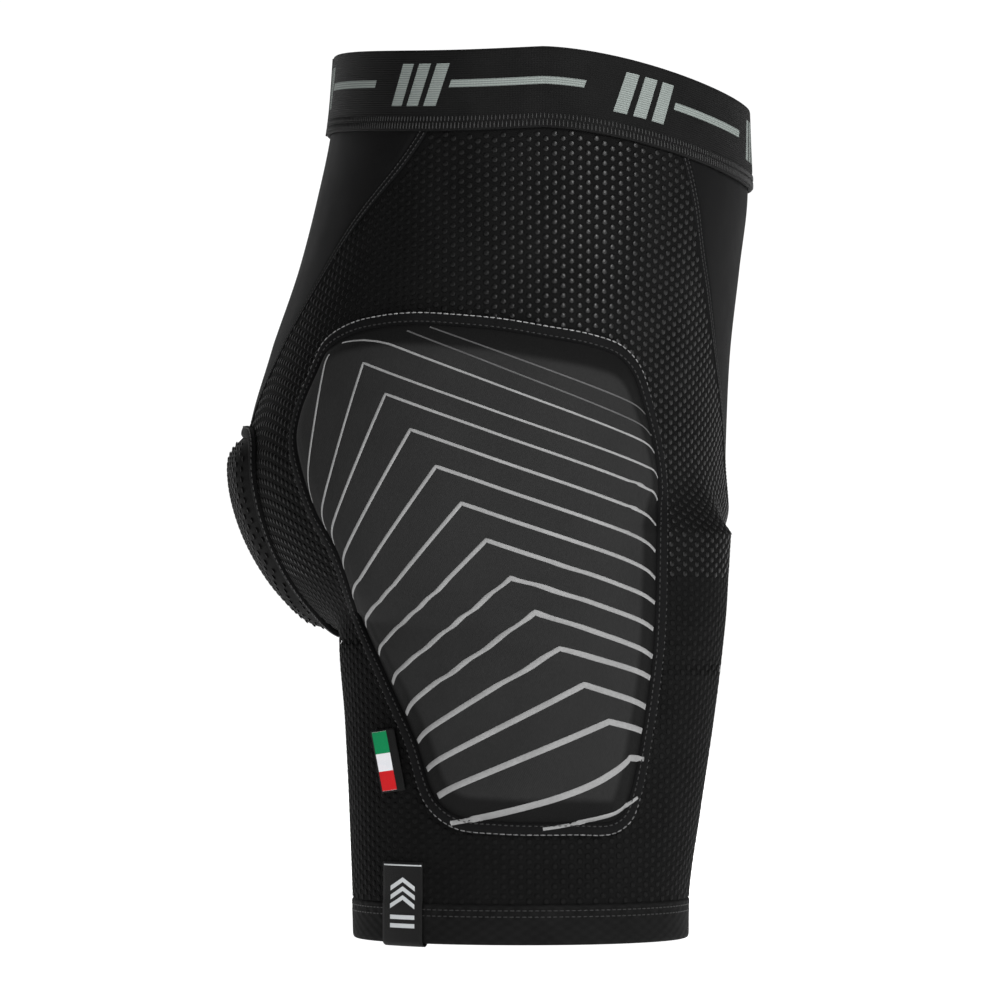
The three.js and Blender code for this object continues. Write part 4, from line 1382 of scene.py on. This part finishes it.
# Stretches listed one by one, as y and height: the last line behind its peak, and two separate bends.
LOWEST_BACK = [(-41.7, -355.2), (-34, -361), (-26.4, -366), (-8, -374.5), (11, -380.5), (28, -384.8),
               (46, -388.5)]
LOW_BEND = [(-47.5, -375.5), (-42, -379.5), (-36, -383), (-28, -385.6), (-18, -388), (-8, -390), (0, -391.2)]
TOP_BEND = np.array([(100, -142.6), (94, -142.1), (88, -142.0), (81, -142.9), (75, -144.4)])
lines, faint_lines = [], []
for k in range(LINES):
    later = LINES - 1 - k
    peak = (93.1 - 12.25 * k - 0.1 * k * later - 6.8 * 0.55 ** k, -149.7 - 18.65 * k - 4.8 * 0.35 ** k)
    ahead = falling_line(hip, peak, True, FRONT_FALL[k])
    behind = falling_line(hip, peak, False, 20 + 4.5 * later)
    if k == LINES - 1:
        behind = hip.seen(smooth_path(LOWEST_BACK, 60))
    path = np.concatenate([behind[:0:-1], ahead])
    lines.append(printed(hip, path, lerp(1.25, 3.5, k / (LINES - 1))))
for start, fall in TOP_LINES:
    faint_lines.append(printed(hip, falling_line(hip, start, True, fall), 0.9))
over_peak = np.concatenate([hip.seen(TOP_BEND), falling_line(hip, (73, -145.1), True, 21)])
lines.append(printed(hip, over_peak, 1.15))
lines.append(printed(hip, hip.seen(smooth_path(LOW_BEND, 40)), 2.4))
lines.append(printed(hip, falling_line(hip, (104.2, -149.5), False, 76), 1.1))
LINE_PRINT = print_finish("printed_line", 0.11, 0.26)
FAINT_PRINT = print_finish("faint_printed_line", 0.03, 0.085)
ride_both(joined("right_hip_printed_lines", lines, LINE_PRINT), None)
ride_both(joined("right_hip_faint_lines", faint_lines, FAINT_PRINT), None)


# ---------------------------------------------------------------- labels
def tab_grid():
    """The side tab's points, normals and UVs: it lifts a little towards its free edge."""
    t = np.linspace(0, 1, 25)[:, None]
    s = np.linspace(0, TAB_WIDTH, 15)[None, :]
    edge = lerp(TAB_FRONT[0], TAB_FRONT[1], t)[:, None, :]
    way = TAB_FRONT[1] - TAB_FRONT[0]
    back = np.array([-way[1], way[0]]) / np.linalg.norm(way)
    q = edge + s[..., None] * TAB_FORESHORTENED * back
    p = seen_from_side(-1, q[..., 0], q[..., 1])
    n = normal_at(p)
    lift = 1.4 + 0.8 * (s / TAB_WIDTH) ** 2 * np.ones_like(t)
    uv = np.stack(np.broadcast_arrays(s, TAB_LENGTH * (1 - t)), -1)
    return p + n * lift[..., None], n, uv


tab_p, tab_n, tab_uv = tab_grid()
TAB = tab_finish()
tab_piece = shell("side_tab_weave", tab_p, tab_n, 0.7, 0.0, tab_uv, TAB, edge_round=0.15)
ride_as(tab_piece, "side_label", TAB_BODY)


def hem_label_grid():
    """The label's points, normals and UVs: down the leg, round the hem and up inside it."""
    y = np.linspace(LABEL_FRONT, LABEL_FRONT + LABEL_WIDTH, 17)
    outer = np.linspace(LABEL_TOP, HEM_Z + 1.0, 18)
    inner = np.linspace(HEM_Z + 1.0, HEM_Z + 24, 10)
    rows, normals = [], []
    for z in outer:
        p = seen_from_side(-1, y, z)
        n = normal_at(p)
        lift = 1.15 if z < HEM_TOP + 1.5 else 0.75
        rows.append(p + n * lift)
        normals.append(n)
    foot = seen_from_side(-1, y, HEM_Z + 1.0)
    foot_n = normal_at(foot)
    for angle in np.linspace(0, np.pi, 9)[1:-1]:
        way = foot_n * math.cos(angle) + np.array([0.0, 0.0, -1.0]) * math.sin(angle)
        rows.append(foot + foot_n * -1.05 + way * 2.2)
        normals.append(unit(way))
    for z in inner:
        p = seen_from_side(-1, y, z)
        n = normal_at(p)
        rows.append(p - n * 3.0)
        normals.append(-n)
    p, n = np.array(rows), np.array(normals)
    fall = lengths_along(p[:, 8])
    return p, n, np.stack(np.broadcast_arrays((y - LABEL_FRONT)[None, :], fall[:, None]), -1)


label_p, label_n, label_uv = hem_label_grid()
LABEL = hem_label_finish()
ride_as(shell("hem_label_weave", label_p, label_n, 0.55, 0.0, label_uv, LABEL), "hem_label")

# ---------------------------------------------------------------- floor, light and camera
FLOOR_HALF = 6000
FLOOR_Z = HEM_Z - 2.6
floor_corners = [(x * FLOOR_HALF, y * FLOOR_HALF, FLOOR_Z) for x, y in ((-1, -1), (1, -1), (1, 1), (-1, 1))]
floor = mesh_object("floor", floor_corners, [(0, 1, 2, 3)], None, floor_finish())


def soft_light(name, place, target, size, power):
    """A rectangular lamp that faces its target."""
    data = bpy.data.lights.new(name, "AREA")
    data.shape = "RECTANGLE"
    data.size, data.size_y = size
    data.energy = power
    lamp = bpy.data.objects.new(name, data)
    lamp.location = place
    lamp.rotation_euler = (Vector(target) - Vector(place)).to_track_quat("-Z", "Y").to_euler()
    bpy.context.scene.collection.objects.link(lamp)


WORLD_DIM = 0.03             # brightness of the room, and of its white band at eye level
WORLD_WHITE = 1.05
soft_light("key", (-1.55, -0.95, 0.6), (-0.1, 0.0, -0.2), (0.5, 1.0), 40)
soft_light("fill", (-1.4, 1.5, 0.2), (0.0, 0.0, -0.25), (1.0, 1.2), 1.5)
soft_light("far_side", (1.8, 0.9, 0.7), (0.0, 0.0, -0.2), (1.2, 1.2), 5)
soft_light("overhead", (0.0, 0.0, 2.4), (0.0, 0.0, 0.0), (2.5, 2.5), 30)

world = bpy.data.worlds.new("studio")
bpy.context.scene.world = world
world.use_nodes = True
sky = world.node_tree
sky.nodes["Background"].inputs["Color"].default_value = (1, 1, 1, 1)
direction = sky.nodes.new("ShaderNodeTexCoord")
parts = sky.nodes.new("ShaderNodeSeparateXYZ")
level = sky.nodes.new("ShaderNodeMath")
level.operation = "ABSOLUTE"
band_of_light = sky.nodes.new("ShaderNodeMapRange")
for name, value in (("From Min", 0.1), ("From Max", 0.15), ("To Min", WORLD_WHITE), ("To Max", WORLD_DIM)):
    band_of_light.inputs[name].default_value = value
sky.links.new(direction.outputs["Generated"], parts.inputs[0])
sky.links.new(parts.outputs[2], level.inputs[0])
sky.links.new(level.outputs[0], band_of_light.inputs["Value"])
sky.links.new(band_of_light.outputs[0], sky.nodes["Background"].inputs["Strength"])

view = bpy.data.cameras.new("camera")
view.lens = 269
view.sensor_width = 36
view.clip_end = 100
camera = bpy.data.objects.new("camera", view)
camera.location = (-4.0, 0.0217, -0.2227)
camera.rotation_euler = (math.pi / 2, 0, -math.pi / 2)
bpy.context.scene.collection.objects.link(camera)
bpy.context.scene.camera = camera
bpy.context.scene.view_settings.view_transform = "Standard"
